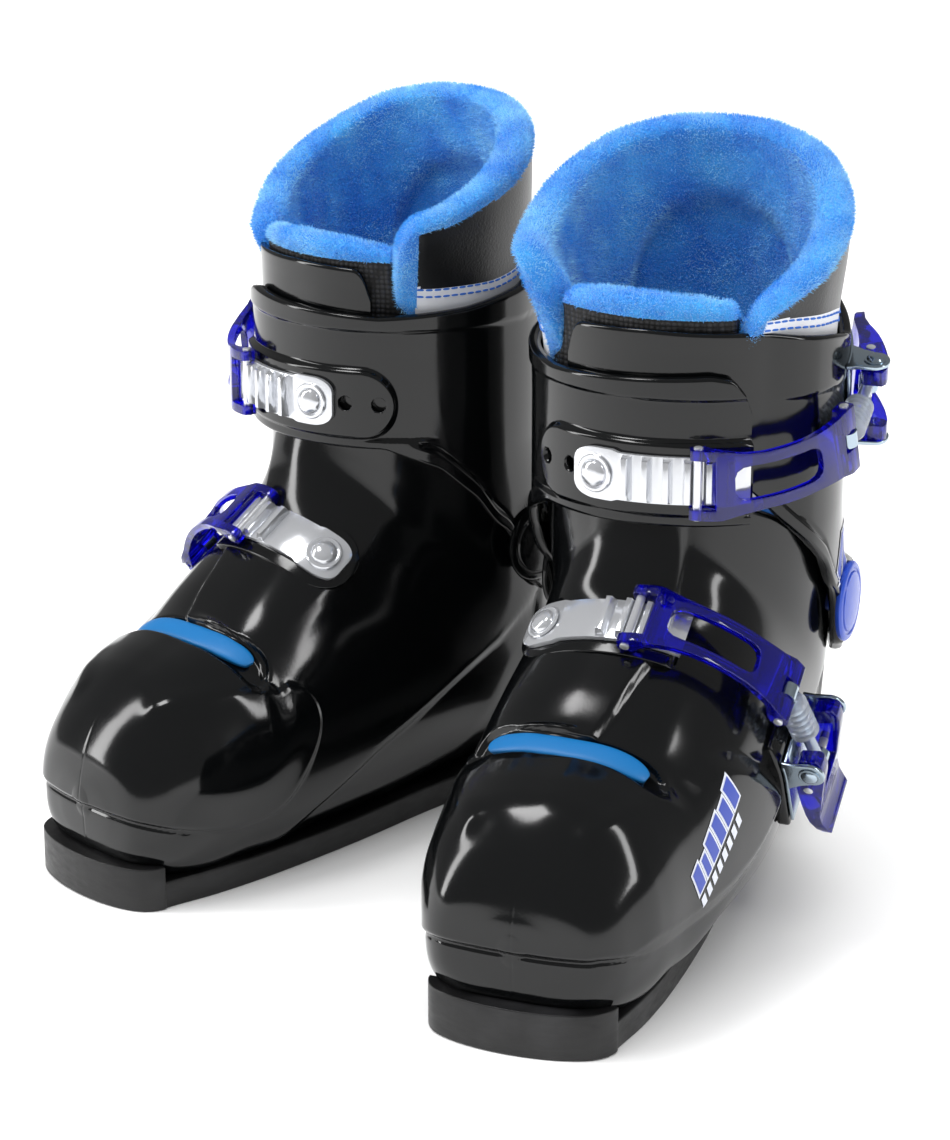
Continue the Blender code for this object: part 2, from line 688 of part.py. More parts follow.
def build_cuff(boot, paint):
    rings = []
    for step in range(CUFF_STEPS + 1):
        degrees = INNER_FLAP_EDGE + (OUTER_FLAP_EDGE - INNER_FLAP_EDGE) * step / CUFF_STEPS
        angle = math.radians(degrees)
        outer = flap_inset(degrees)
        share = smoothstep(46.0, 70.0, degrees)
        inner = outer + FLAP_WALL + (CUFF_WALL - FLAP_WALL) * share
        low = edge_height(CUFF_LOW_EDGE, degrees)
        high = edge_height(CUFF_TOP_EDGE, degrees)
        heights = [low + (high - low) * row / CUFF_ROWS for row in range(CUFF_ROWS + 1)]
        ring = [leg_point(angle, height, outer) for height in heights]
        ring += [leg_point(angle, height, inner) for height in reversed(heights)]
        rings.append(ring)
    cuff = boot.mesh("cuff", *loft(rings), paint["shell"], "cuff")
    wrap, spots = cuff_buckle()
    low, high = CUFF_BUCKLE["pad"]
    half = STRAP_PAD_WIDTH / 2.0
    pad = block(wrap, math.radians(low), math.radians(high), CUFF_RADIUS - 1.5,
                CUFF_RADIUS + STRAP_PAD_RISE, -half, half, 12)
    boot.fuse(cuff, boot.mesh("cuff_pad", *pad))
    for side, (face, seat) in PIVOT_FACES.items():
        boss = rod(pivot_point(seat), pivot_point(face), PIVOT_CAP_RADIUS + 2.0, 24)
        boot.fuse(cuff, boot.mesh(f"boss_{side}", *boss))
        hole = rod(pivot_point(seat * 0.5), pivot_point(face * 1.5), PIVOT_SHANK_RADIUS + PIN_GAP, 16)
        boot.cut(cuff, boot.mesh(f"boss_hole_{side}", *hole))
    for hole in range(3):
        angle = math.radians(CUFF_BUCKLE["rivet"]) - hole * STRAP_HOLE_PITCH / CUFF_RADIUS
        radius = RIVET_RADIUS + PIN_GAP if hole == 0 else STRAP_HOLE_RADIUS
        cutter = rod(wrap.point(CUFF_RADIUS - 8.0, angle), wrap.point(CUFF_RADIUS + 8.0, angle), radius)
        boot.cut(cuff, boot.mesh(f"cuff_hole_{hole}", *cutter))
    return cuff


def pivot_point(side):
    return Vector((PIVOT_FORWARD, side, PIVOT_UP))


def build_pivots(boot, paint):
    """An ankle rivet on each side: a cap outside the cuff and a shank that ends in the clog's wall."""
    for name, (face, _) in PIVOT_FACES.items():
        outward = math.copysign(1.0, face)
        start = pivot_point(PIVOT_SHANK_ENDS[name])
        length = abs(face - start.y)
        seat = length + FIT_GAP
        profile = (
            (0.0, PIVOT_SHANK_RADIUS),
            (seat, PIVOT_SHANK_RADIUS),
            (seat, PIVOT_CAP_RADIUS),
            (seat + PIVOT_CAP_THICKNESS * 0.6, PIVOT_CAP_RADIUS),
            (seat + PIVOT_CAP_THICKNESS, PIVOT_CAP_RADIUS - 2.0),
        )
        end = start + Vector((0.0, outward * 10.0, 0.0))
        boot.mesh(f"cuff_pivot_{name}", *turned(start, end, profile, 24), paint["cap"], "shell")


def collar_floor(forward):
    """Underside of the collar: clear of the liner's foot upright and when the cuff is flexed."""
    top_f, top_u, low_f, low_u = CLOG_CUTS[-1][:4]
    upright = low_u + (forward - low_f) * (top_u - low_u) / (top_f - low_f)
    flex = math.radians(FLEX_DEGREES)
    ends = []
    for end_f, end_u in ((low_f, low_u), (top_f, top_u)):
        f, u = end_f - PIVOT_FORWARD, end_u - PIVOT_UP
        ends.append((
            PIVOT_FORWARD + f * math.cos(flex) - u * math.sin(flex),
            PIVOT_UP + f * math.sin(flex) + u * math.cos(flex),
        ))
    (f0, u0), (f1, u1) = ends
    flexed = u0 + (forward - f0) * (u1 - u0) / (f1 - f0)
    return max(upright, flexed) + 1.0


def padded_wall(first, last, steps, floor_of, top_of, wall):
    """A curved pad inside the cuff, between two angles in degrees, with a rounded top edge."""
    rings = []
    for step in range(steps + 1):
        degrees = first + (last - first) * step / steps
        angle = math.radians(degrees)
        inset = lining_inset(degrees)
        low = floor_of(angle, inset)
        high = top_of(degrees)
        ring = []
        for row in range(5):
            ring.append(leg_point(angle, low + (high - 3.0 - low) * row / 4.0, inset))
        ring.append(leg_point(angle, high, inset + wall * 0.3))
        ring.append(leg_point(angle, high, inset + wall * 0.7))
        for row in range(4, 0, -1):
            ring.append(leg_point(angle, low + (high - 3.0 - low) * row / 4.0, inset + wall))
        ring.append(leg_point(angle, floor_of(angle, inset + wall), inset + wall))
        rings.append(ring)
    return loft(rings)


def build_collar(boot, paint):
    def floor_of(angle, inset):
        height = 140.0
        for _ in range(4):
            height = collar_floor(leg_point(angle, height, inset).x)
        return height

    def tongue_floor(angle, inset):
        return max(floor_of(angle, inset), CUFF_FRONT_BOTTOM + 27.0)

    shape = padded_wall(
        TONGUE_HALF_ANGLE + 1.0, 359.0 - TONGUE_HALF_ANGLE, 24, floor_of,
        lambda degrees: edge_height(COLLAR_TOP_EDGE, degrees), COLLAR_WALL)
    boot.mesh("liner_collar", *shape, paint["fleece"], "cuff")
    shape = padded_wall(
        -TONGUE_HALF_ANGLE, TONGUE_HALF_ANGLE, 10, tongue_floor,
        lambda degrees: TONGUE_TOP - 0.002 * degrees * degrees, COLLAR_WALL)
    boot.mesh("liner_tongue", *shape, paint["tongue"], "cuff")


# ---- Buckles --------------------------------------------------------------------------------------
def buckle_spots(place):
    """Angles of a buckle's pins round its shell, in radians."""
    surface = place["surface"]
    hook = math.radians(place["hook"])
    bail = hook + BAIL_REACH / (surface + BAIL_PIN_RISE)
    crank = bail + ADJUSTER_REACH / (surface + CRANK_PIN_RISE)
    pivot = crank - LEVER_CRANK / (surface + PIVOT_RISE)
    return {"hook": hook, "bail": bail, "crank": crank, "pivot": pivot}


def cuff_buckle():
    wrap = Wrap((LEG_FORWARD, LEG_SIDE, CUFF_BUCKLE_UP), (0.0, 0.0, 1.0), (1.0, 0.0, 0.0), CUFF_RADIUS)
    return wrap, buckle_spots(CUFF_BUCKLE)


def instep_buckle():
    front = (INSTEP_AXIS[2], 0.0, -INSTEP_AXIS[0])
    surface = INSTEP_BUCKLE["surface"]
    wrap = Wrap(INSTEP_CENTRE, INSTEP_AXIS, front, surface, math.radians(INSTEP_FLAT_FROM))
    return wrap, buckle_spots(INSTEP_BUCKLE)


def pulled(wrap, place, spots):
    return wrap.leaning(math.radians(place["lean"]), spots["hook"])


def cross_rod(wrap, radius_at, angle, half, radius, sides=12):
    return rod(wrap.point(radius_at, angle, -half), wrap.point(radius_at, angle, half), radius, sides)


def build_ladder(boot, paint, name, wrap, place, spots, body):
    surface = place["surface"]
    low = surface + STRAP_PAD_RISE + 0.3
    plate = low + LADDER_PLATE
    rivet = math.radians(place["rivet"])
    half = LADDER_WIDTH / 2.0

    def arc(length):
        return length / plate

    stations = [(rivet - arc(LADDER_TAIL), low, plate, half - 3.0)]
    stations.append((rivet - arc(LADDER_TAIL - 3.0), low, plate, half))
    first = -place["teeth"]
    for tooth in range(first, TEETH_BEYOND_HOOK + 1):
        face = spots["hook"] + arc(PIN_RADIUS + 0.6 + tooth * TOOTH_PITCH)
        stations.append((face - arc(0.15), low, plate, half))
        stations.append((face + arc(0.15), low, plate + TOOTH_HEIGHT, half))
        stations.append((face + arc(TOOTH_LENGTH * 0.5), low, plate + TOOTH_HEIGHT, half))
        stations.append((face + arc(TOOTH_LENGTH), low, plate, half))
    stations.append((face + arc(TOOTH_LENGTH + LADDER_HEEL), low, plate, half))
    ladder = boot.mesh(f"{name}_ladder", *loft(strip_rings(wrap, stations)), paint["chrome"], body)
    hole = rod(wrap.point(low - 2.0, rivet), wrap.point(plate + 2.0, rivet), RIVET_RADIUS + PIN_GAP)
    boot.cut(ladder, boot.mesh(f"{name}_ladder_hole", *hole))
    rivet_mesh = domed_rivet(wrap.point(surface - RIVET_DEPTH, rivet), wrap.point(plate + 0.3 + RIVET_DOME, rivet),
                             RIVET_RADIUS, RIVET_HEAD, RIVET_DOME)
    boot.mesh(f"{name}_ladder_rivet", *rivet_mesh, paint["chrome"], body)


def build_bail(boot, paint, name, wrap, place, spots, body):
    surface = place["surface"]
    hook = spots["hook"]
    scale = surface + BAIL_PIN_RISE
    half = BAIL_WIDTH / 2.0
    waist = BAIL_WAIST / 2.0
    web_low, web_high = surface + WEB_RISE[0], surface + WEB_RISE[1]
    ear = PIN_RADIUS + PIN_GAP + EAR_WALL
    hook_low, hook_high = surface + HOOK_RISE - ear, surface + HOOK_RISE + ear
    rear_low, rear_high = surface + BAIL_PIN_RISE - ear, surface + BAIL_PIN_RISE + ear
    shape = (
        (-ear, hook_low + 0.8, hook_high - 0.8, half),
        (-ear + 1.2, hook_low, hook_high, half),
        (ear, hook_low, web_high, half),
        (6.5, web_low, web_high, half),
        (16.0, web_low, web_high, waist + 0.8),
        (30.0, web_low, web_high, waist),
        (44.0, web_low, web_high, waist),
        (BAIL_REACH - ear - 5.0, web_low, web_high, waist + 0.6),
        (BAIL_REACH - ear, rear_low, rear_high, half),
        (BAIL_REACH + ear - 1.0, rear_low, rear_high, half),
        (BAIL_REACH + ear, rear_low + 1.0, rear_high - 1.0, half),
    )
    stations = [(hook + d / scale, low, high, width) for d, low, high, width in shape]
    bail = boot.mesh(f"{name}_bail", *loft(strip_rings(wrap, stations)), paint["lever"], body)
    fork = LADDER_WIDTH / 2.0 + 0.5
    slot = EYE_WIDTH / 2.0 + FIT_GAP
    cuts = (
        ("fork", -6.0, 6.0, fork),
        ("window", WINDOW_ENDS[0], WINDOW_ENDS[1], WINDOW_WIDTH / 2.0),
        ("slot", BAIL_REACH - EYE_RADIUS - 1.5, BAIL_REACH + 8.0, slot),
    )
    for label, start, end, width in cuts:
        cutter = block(wrap, hook + start / scale, hook + end / scale, surface - 4.0, surface + 18.0,
                       -width, width, 4)
        boot.cut(bail, boot.mesh(f"{name}_bail_{label}", *cutter), solver="MANIFOLD")
    for pin, angle, rise in (("hook", hook, HOOK_RISE), ("bail", spots["bail"], BAIL_PIN_RISE)):
        hole = cross_rod(wrap, surface + rise, angle, half + 3.0, PIN_RADIUS + PIN_GAP)
        boot.cut(bail, boot.mesh(f"{name}_{pin}_hole", *hole), solver="MANIFOLD")
        length = half + PIN_END
        piece = cross_rod(wrap, surface + rise, angle, length, PIN_RADIUS)
        boot.mesh(f"{name}_{pin}_pin", *piece, paint["chrome"], body)


def build_adjuster(boot, paint, name, wrap, place, spots, body):
    surface = place["surface"]
    start = wrap.point(surface + BAIL_PIN_RISE, spots["bail"])
    end = wrap.point(surface + CRANK_PIN_RISE, spots["crank"])
    length = (end - start).length
    first, last = BARREL_ENDS
    profile = [(1.0, LINK_RADIUS), (first - 1.0, LINK_RADIUS), (first, BARREL_RADIUS - 0.6)]
    pitch = (last - first) / BARREL_RIBS
    for rib in range(BARREL_RIBS):
        near = first + rib * pitch
        profile.append((near + pitch * 0.3, BARREL_RADIUS))
        profile.append((near + pitch * 0.7, BARREL_RADIUS))
        profile.append((near + pitch, BARREL_RADIUS - 0.6))
    profile += [(last + 1.0, LINK_RADIUS), (length - 1.0, LINK_RADIUS)]
    adjuster = boot.mesh(f"{name}_adjuster", *turned(start, end, profile), paint["clear"], body)
    half = EYE_WIDTH / 2.0
    for label, angle, rise in (("front", spots["bail"], BAIL_PIN_RISE), ("rear", spots["crank"], CRANK_PIN_RISE)):
        eye = cross_rod(wrap, surface + rise, angle, half, EYE_RADIUS)
        boot.fuse(adjuster, boot.mesh(f"{name}_eye_{label}", *eye))
    for label, angle, rise in (("front", spots["bail"], BAIL_PIN_RISE), ("rear", spots["crank"], CRANK_PIN_RISE)):
        hole = cross_rod(wrap, surface + rise, angle, half + 2.0, PIN_RADIUS + PIN_GAP)
        boot.cut(adjuster, boot.mesh(f"{name}_eye_hole_{label}", *hole))


def build_lever(boot, paint, name, wrap, place, spots, body):
    surface = place["surface"]
    scale = surface + PIVOT_RISE
    half = LEVER_WIDTH / 2.0
    stations = [
        (spots["pivot"] + distance / scale, surface + low, surface + high, half)
        for distance, low, high in LEVER_PROFILE
    ]
    lever = boot.mesh(f"{name}_lever", *loft(strip_rings(wrap, stations)), paint["lever"], body)
    front = LEVER_PROFILE[0][0] - 3.0
    slot = block(wrap, spots["pivot"] + front / scale, spots["pivot"] + LEVER_SLOT_END / scale,
                 surface, surface + 22.0, -LEVER_SLOT / 2.0, LEVER_SLOT / 2.0, 3)
    boot.cut(lever, boot.mesh(f"{name}_lever_slot", *slot))
    hole = cross_rod(wrap, surface + PIVOT_RISE, spots["pivot"], half + 2.0, STUB_RADIUS + PIN_GAP)
    boot.cut(lever, boot.mesh(f"{name}_lever_hole", *hole))
    hole = cross_rod(wrap, surface + CRANK_PIN_RISE, spots["crank"], half + 2.0, PIN_RADIUS + PIN_GAP)
    boot.cut(lever, boot.mesh(f"{name}_crank_hole", *hole))
    pin = cross_rod(wrap, surface + CRANK_PIN_RISE, spots["crank"], half - 0.1, PIN_RADIUS)
    boot.mesh(f"{name}_adjuster_pin", *pin, paint["chrome"], body)


def build_base(boot, paint, name, wrap, place, spots, body):
    """The bracket riveted to the shell, with two ears whose stubs carry the lever."""
    surface = place["surface"]
    scale = surface + PIVOT_RISE
    pivot = spots["pivot"]
    inner = LEVER_WIDTH / 2.0 + FIT_GAP
    outer = inner + EAR_THICKNESS
    low = surface + FIT_GAP
    plate = block(wrap, pivot + BASE_ENDS[0] / scale, pivot + BASE_ENDS[1] / scale, low,
                  low + BASE_PLATE, -outer - 0.3, outer + 0.3, 6)
    base = boot.mesh(f"{name}_base", *plate, paint["zinc"], body)
    rim = surface + PIVOT_RISE
    outline = [(-EAR_RADIUS, low + BASE_PLATE / 2.0)]
    for step in range(9):
        turn = math.pi * (1.0 - step / 8.0)
        outline.append((EAR_RADIUS * math.cos(turn), rim + EAR_RADIUS * math.sin(turn)))
    outline.append((EAR_RADIUS + 4.0, low + BASE_PLATE / 2.0))
    stub_start = LEVER_SLOT / 2.0 + 1.0
    for side, label in ((-1.0, "near"), (1.0, "far")):
        rings = [
            [wrap.point(radius, pivot + distance / scale, along) for distance, radius in outline]
            for along in (side * inner, side * outer)
        ]
        ear = boot.mesh(f"{name}_ear_{label}", *loft(rings))
        start = wrap.point(rim, pivot, side * stub_start)
        end = wrap.point(rim, pivot, side * (outer + STUB_HEAD_RISE))
        reach = outer - stub_start
        profile = (
            (0.0, STUB_RADIUS),
            (reach - EAR_THICKNESS / 2.0, STUB_RADIUS),
            (reach - EAR_THICKNESS / 2.0, STUB_HEAD),
            (reach + STUB_HEAD_RISE * 0.5, STUB_HEAD - 0.4),
            (reach + STUB_HEAD_RISE, STUB_HEAD * 0.4),
        )
        stub = boot.mesh(f"{name}_stub_{label}", *turned(start, end, profile))
        boot.fuse(base, ear, stub)


def build_buckle(boot, paint, name, wrap, place, spots, body):
    surface = place["surface"]
    lean = pulled(wrap, place, spots)
    boot.body(f"{name}_lever", lean.point(surface + PIVOT_RISE, spots["pivot"]), body)
    boot.body(f"{name}_adjuster", lean.point(surface + CRANK_PIN_RISE, spots["crank"]), f"{name}_lever")
    boot.body(f"{name}_bail", lean.point(surface + BAIL_PIN_RISE, spots["bail"]), f"{name}_adjuster")
    build_ladder(boot, paint, name, wrap, place, spots, body)
    build_base(boot, paint, name, lean, place, spots, body)
    build_lever(boot, paint, name, lean, place, spots, f"{name}_lever")
    build_adjuster(boot, paint, name, lean, place, spots, f"{name}_adjuster")
    build_bail(boot, paint, name, lean, place, spots, f"{name}_bail")


# ---- One boot, then the pair ----------------------------------------------------------------------
def finish_clog(boot, shell, paint):
    """Pads, cavity, groove and holes of the clog."""
    wrap, spots = instep_buckle()
    surface = INSTEP_BUCKLE["surface"]
    scale = surface + PIVOT_RISE
    half = LEVER_WIDTH / 2.0 + 3.0
    panel = block(wrap, spots["pivot"] - 6.0 / scale, spots["pivot"] + 34.0 / scale,
                  surface - INSTEP_PANEL, surface, -half, half, 6)
    low, high = INSTEP_BUCKLE["pad"]
    strap = STRAP_PAD_WIDTH / 2.0
    pad = block(wrap, math.radians(low), math.radians(high), surface - INSTEP_PANEL,
                surface + STRAP_PAD_RISE, -strap, strap, 10)
    boot.fuse(shell, boot.mesh("instep_panel", *panel), boot.mesh("instep_pad", *pad))
    floor = LINER_FLOOR - 2.0 * FIT_GAP - BOARD_THICKNESS
    cavity = extended(raise_floor(clog_rings(SHELL_WALL), floor), 4.0)
    boot.cut(shell, boot.mesh("foot_cavity", *loft(cavity)))
    boot.cut(shell, boot.mesh("gasket_groove", *gasket_strip(0.35)))
    boot.mesh("toe_gasket", *gasket_strip(0.0), paint["gasket"], "shell")
    rivet = math.radians(INSTEP_BUCKLE["rivet"])
    hole = rod(wrap.point(surface - 9.0, rivet), wrap.point(surface + 8.0, rivet), RIVET_RADIUS + PIN_GAP)
    boot.cut(shell, boot.mesh("instep_hole", *hole))
    for side, (face, _) in PIVOT_FACES.items():
        hole = rod(pivot_point(face * 0.5), pivot_point(face * 1.4), PIVOT_SHANK_RADIUS + PIN_GAP, 16)
        boot.cut(shell, boot.mesh(f"shell_hole_{side}", *hole))


def build_boot(name, mirror, paint):
    boot = Boot(name, mirror)
    boot.body("shell", (0.0, 0.0, 0.0))
    boot.body("cuff", (PIVOT_FORWARD, 0.0, PIVOT_UP), "shell")
    shell = build_clog(boot, paint)
    finish_clog(boot, shell, paint)
    build_boards(boot, paint)
    build_liner_foot(boot, paint)
    build_cuff(boot, paint)
    build_pivots(boot, paint)
    build_collar(boot, paint)
    build_buckle(boot, paint, "cuff", *cuff_layout(), "cuff")
    build_buckle(boot, paint, "instep", *instep_layout(), "shell")
    return boot


def cuff_layout():
    wrap, spots = cuff_buckle()
    return wrap, CUFF_BUCKLE, spots


def instep_layout():
    wrap, spots = instep_buckle()
    return wrap, INSTEP_BUCKLE, spots


def main():
    clear_scene()
    paint = make_materials()
    build_boot("left", 1.0, paint)
    right = build_boot("right", -1.0, paint)
    stand = right.pivots["shell"][0]
    stand.location = (RIGHT_BOOT_PLACE[0] * MM, RIGHT_BOOT_PLACE[1] * MM, 0.0)
    stand.rotation_euler = (0.0, 0.0, math.radians(RIGHT_BOOT_TURN))


main()
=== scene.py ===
# %% [markdown]
# # A pair of junior alpine ski boots
# The solid model of the boots is already made. It holds the sizes, the joints and the plain shapes.
# This script dresses it: a glossy moulded clog and cuff, fleece padding, and metal and plastic buckles.
# Everything is drawn for the left boot in millimetres: forward, side (outer side positive) and up.
# A last step mirrors each piece for the right boot and turns it to where that boot stands.

# %% Load the solid model
import math

import bmesh
import bpy
import numpy as np
from mathutils import Matrix, Vector
from mathutils.bvhtree import BVHTree


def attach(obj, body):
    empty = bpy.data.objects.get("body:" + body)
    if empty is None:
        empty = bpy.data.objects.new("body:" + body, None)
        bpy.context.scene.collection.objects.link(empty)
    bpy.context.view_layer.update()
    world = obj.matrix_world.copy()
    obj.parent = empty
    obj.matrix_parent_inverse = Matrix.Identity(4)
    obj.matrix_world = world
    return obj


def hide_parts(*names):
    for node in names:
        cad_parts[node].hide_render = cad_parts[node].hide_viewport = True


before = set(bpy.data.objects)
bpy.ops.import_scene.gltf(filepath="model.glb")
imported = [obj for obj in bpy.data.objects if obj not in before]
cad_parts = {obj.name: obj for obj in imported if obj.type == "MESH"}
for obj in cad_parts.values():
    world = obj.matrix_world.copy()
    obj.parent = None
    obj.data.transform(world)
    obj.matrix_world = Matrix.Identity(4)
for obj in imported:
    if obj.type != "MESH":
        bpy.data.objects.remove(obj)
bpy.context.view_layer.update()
MM = 0.001
RIGHT_PLACE = (-0.141, 0.0521, 0.0)
RIGHT_TURN = math.radians(-25.4)

# %% [markdown]
# ## Shapes as grids of points
# The clog is a stack of slanted cuts. Each cut is a superellipse, an oval whose corners can be squarer
# than an ellipse's. Smooth curves through the table's rows give as many cuts as we like.
# The cuff is a wall round the leg whose lower and upper edges are two tables of heights.

# %% Tables of the shape
# A row: top (forward, up), bottom (forward, up), middle, half width, widest share, squareness up, low.
CLOG = (
    (123.6, 43.0, 123.6, 30.0, 0.0, 5.0, 0.50, 2.0, 2.0),
    (122.6, 48.0, 123.0, 21.0, 0.0, 16.0, 0.50, 2.2, 2.6),
    (119.6, 58.0, 121.0, 17.0, 0.0, 27.0, 0.46, 2.3, 3.4),
    (112.5, 69.0, 115.5, 12.0, 0.0, 34.0, 0.44, 2.3, 3.6),
    (103.0, 77.0, 106.0, 7.0, 0.0, 38.5, 0.43, 2.4, 3.4),
    (90.0, 83.0, 92.0, 4.0, 0.5, 41.8, 0.42, 2.5, 3.2),
    (76.0, 87.5, 75.0, 4.0, 1.0, 44.2, 0.42, 2.6, 3.0),
    (63.0, 93.5, 57.0, 4.0, 2.0, 47.0, 0.42, 2.6, 3.0),
    (50.0, 103.0, 37.0, 4.0, 3.5, 49.2, 0.42, 2.5, 2.8),
    (37.5, 111.5, 10.0, 4.0, 5.0, 51.0, 0.44, 2.4, 2.6),
    (26.5, 119.0, -20.0, 4.0, 6.0, 51.5, 0.47, 2.3, 2.4),
    (18.0, 128.0, -54.0, 4.0, 6.0, 50.0, 0.50, 2.2, 2.2),
    (14.5, 138.0, -88.0, 5.0, 6.0, 48.5, 0.52, 2.1, 2.2),
    (12.4, 147.0, -110.0, 20.0, 6.0, 48.5, 0.52, 2.0, 2.1),
    (10.6, 154.5, -112.0, 56.0, 6.0, 50.5, 0.51, 2.0, 2.0),
    (9.6, 160.5, -104.0, 86.0, 6.0, 51.5, 0.50, 2.0, 2.0),
    (9.2, 165.0, -94.3, 108.0, 6.0, 52.0, 0.50, 2.0, 2.0),
)
# Height, forward position of the leg's axis, half length, half width, squareness.
LEG = (
    (70.0, -46.0, 58.0, 54.0, 2.6),
    (108.0, -44.0, 57.0, 56.0, 2.5),
    (150.0, -42.0, 57.0, 57.0, 2.0),
    (190.0, -42.0, 57.0, 57.0, 2.0),
    (215.0, -41.0, 56.0, 57.5, 2.0),
    (240.0, -39.0, 54.5, 58.5, 2.0),
    (290.0, -34.0, 53.0, 59.0, 2.0),
)
LEG_SIDE = 6.0
PIVOT = (-62.0, 108.0)
# Edges of the cuff: (degrees from the front, height).
CUFF_LOW = (
    (-36, 172), (36, 170), (46, 162), (54, 154), (62, 147), (80, 132), (93, 114), (103, 91),
    (113, 84), (124, 86), (140, 98), (160, 109), (180, 112), (200, 109), (220, 98), (236, 86),
    (247, 84), (257, 91), (267, 114), (280, 132), (297, 146), (318, 154), (400, 154),
)
CUFF_TOP = (
    (-36, 210), (-33.5, 219), (-30, 222.5), (0, 223.5), (45, 222), (80, 217), (104, 212), (130, 222),
    (155, 234), (180, 238), (205, 234), (230, 222), (256, 212), (285, 208), (320, 205.5), (385, 208.5),
    (393, 207), (398, 201), (400, 194),
)
COLLAR_TOP = (
    (39, 229), (50, 234), (65, 241), (85, 252), (110, 264), (135, 275), (160, 280), (180, 280.5),
    (200, 280), (225, 275), (250, 265), (275, 255), (295, 248), (310, 245), (321, 240),
)


# %% Curves through tables, and grids into meshes
def smoothstep(low, high, value):
    """From 0 at low to 1 at high, with a soft start and end. Low may be the larger."""
    share = np.clip((np.asarray(value, float) - low) / (high - low), 0.0, 1.0)
    return share * share * (3.0 - 2.0 * share)


def spline(rows, places):
    """Rows at fractional places, on a smooth curve through the table."""
    rows = np.asarray(rows, float)
    places = np.asarray(places, float)
    first = np.clip(places.astype(int), 0, len(rows) - 2)
    share = (places - first)[:, None]
    before, start = rows[np.maximum(first - 1, 0)], rows[first]
    end, after = rows[first + 1], rows[np.minimum(first + 2, len(rows) - 1)]
    slope_in, slope_out, rise = (end - before) / 2, (after - start) / 2, end - start
    cubic = slope_in + slope_out - 2 * rise
    square = 3 * rise - 2 * slope_in - slope_out
    return start + share * (slope_in + share * (square + share * cubic))


def edge_height(table, degrees, blur=3.0):
    """Height of an edge table at an angle, with its corners rounded off."""
    table = np.asarray(table, float)
    spread = np.linspace(-blur, blur, 5)
    return sum(np.interp(degrees + s, table[:, 0], table[:, 1]) for s in spread) / len(spread)


def powered(value, power):
    """A power of the size of a value, with the value's own sign."""
    return np.sign(value) * np.abs(value) ** power


def clog_grid(places, angles):
    """Points (forward, side, up) of the clog: one row for each place, one column for each angle."""
    rows = spline(CLOG, places)[:, :, None]
    top_f, top_u, low_f, low_u, middle, half, widest, up, low = (rows[:, i] for i in range(9))
    angles = np.asarray(angles)[None, :]
    upper = np.cos(angles) >= 0
    square = np.where(upper, up, low)
    reach = np.where(upper, 1 - widest, widest)
    share = widest + reach * powered(np.cos(angles), 2 / square)
    side = middle + half * powered(np.sin(angles), 2 / square)
    return np.stack([low_f + share * (top_f - low_f), side, low_u + share * (top_u - low_u)], axis=2)


def leg_grid(degrees, heights, inset):
    """Points on the cuff's outline: arrays of angles, heights and insets, all of one shape."""
    table = np.asarray(LEG, float)
    middle, half_f, half_s, square = (np.interp(heights, table[:, 0], table[:, i]) for i in range(1, 5))
    angle = np.radians(degrees)
    return np.stack([
        middle + (half_f - inset) * powered(np.cos(angle), 2 / square),
        LEG_SIDE + (half_s - inset) * powered(np.sin(angle), 2 / square),
        heights + np.zeros_like(angle),
    ], axis=-1)


def grid_normals(points, closed):
    """Outward unit normals of a grid whose columns run round a tube."""
    if closed:
        around = np.roll(points, -1, 1) - np.roll(points, 1, 1)
    else:
        around = np.gradient(points, axis=1)
    along = np.gradient(points, axis=0)
    normal = np.cross(around, along)
    normal /= np.maximum(np.linalg.norm(normal, axis=2, keepdims=True), 1e-9)
    return normal


def grid_faces(rows, columns, wrap_columns=False, caps=False):
    """Four-sided faces of a grid, with a many-sided face on its first and last rows if asked."""
    faces = []
    for row in range(rows - 1):
        low, high = row * columns, (row + 1) * columns
        for column in range(columns if wrap_columns else columns - 1):
            beside = (column + 1) % columns
            faces.append((low + column, low + beside, high + beside, high + column))
    if caps:
        faces.append(tuple(reversed(range(columns))))
        faces.append(tuple(range((rows - 1) * columns, rows * columns)))
    return faces


def distance_inside(across, up, outline):
    """Signed distance to a closed outline, positive inside it."""
    outline = np.asarray(outline, float)
    best = np.full(across.shape, 1e9)
    inside = np.zeros(across.shape, bool)
    for (x0, y0), (x1, y1) in zip(outline, np.roll(outline, -1, 0)):
        dx, dy = x1 - x0, y1 - y0
        share = np.clip(((across - x0) * dx + (up - y0) * dy) / (dx * dx + dy * dy), 0, 1)
        best = np.minimum(best, np.hypot(across - x0 - share * dx, up - y0 - share * dy))
        if dy:
            crosses = (y0 > up) != (y1 > up)
            inside ^= crosses & (across < (up - y0) * dx / dy + x0)
    return np.where(inside, best, -best)


def distance_to_line(across, up, line):
    """Distance to an open line of points."""
    best = np.full(across.shape, 1e9)
    for (x0, y0), (x1, y1) in zip(line, line[1:]):
        dx, dy = x1 - x0, y1 - y0
        share = np.clip(((across - x0) * dx + (up - y0) * dy) / (dx * dx + dy * dy), 0, 1)
        best = np.minimum(best, np.hypot(across - x0 - share * dx, up - y0 - share * dy))
    return best


PIECES = []


def to_world(points):
    """Forward, side and up in millimetres, as the frame's metres."""
    points = np.asarray(points, float).reshape(-1, 3)
    return np.stack([points[:, 1], -points[:, 0], points[:, 2]], axis=1) * MM


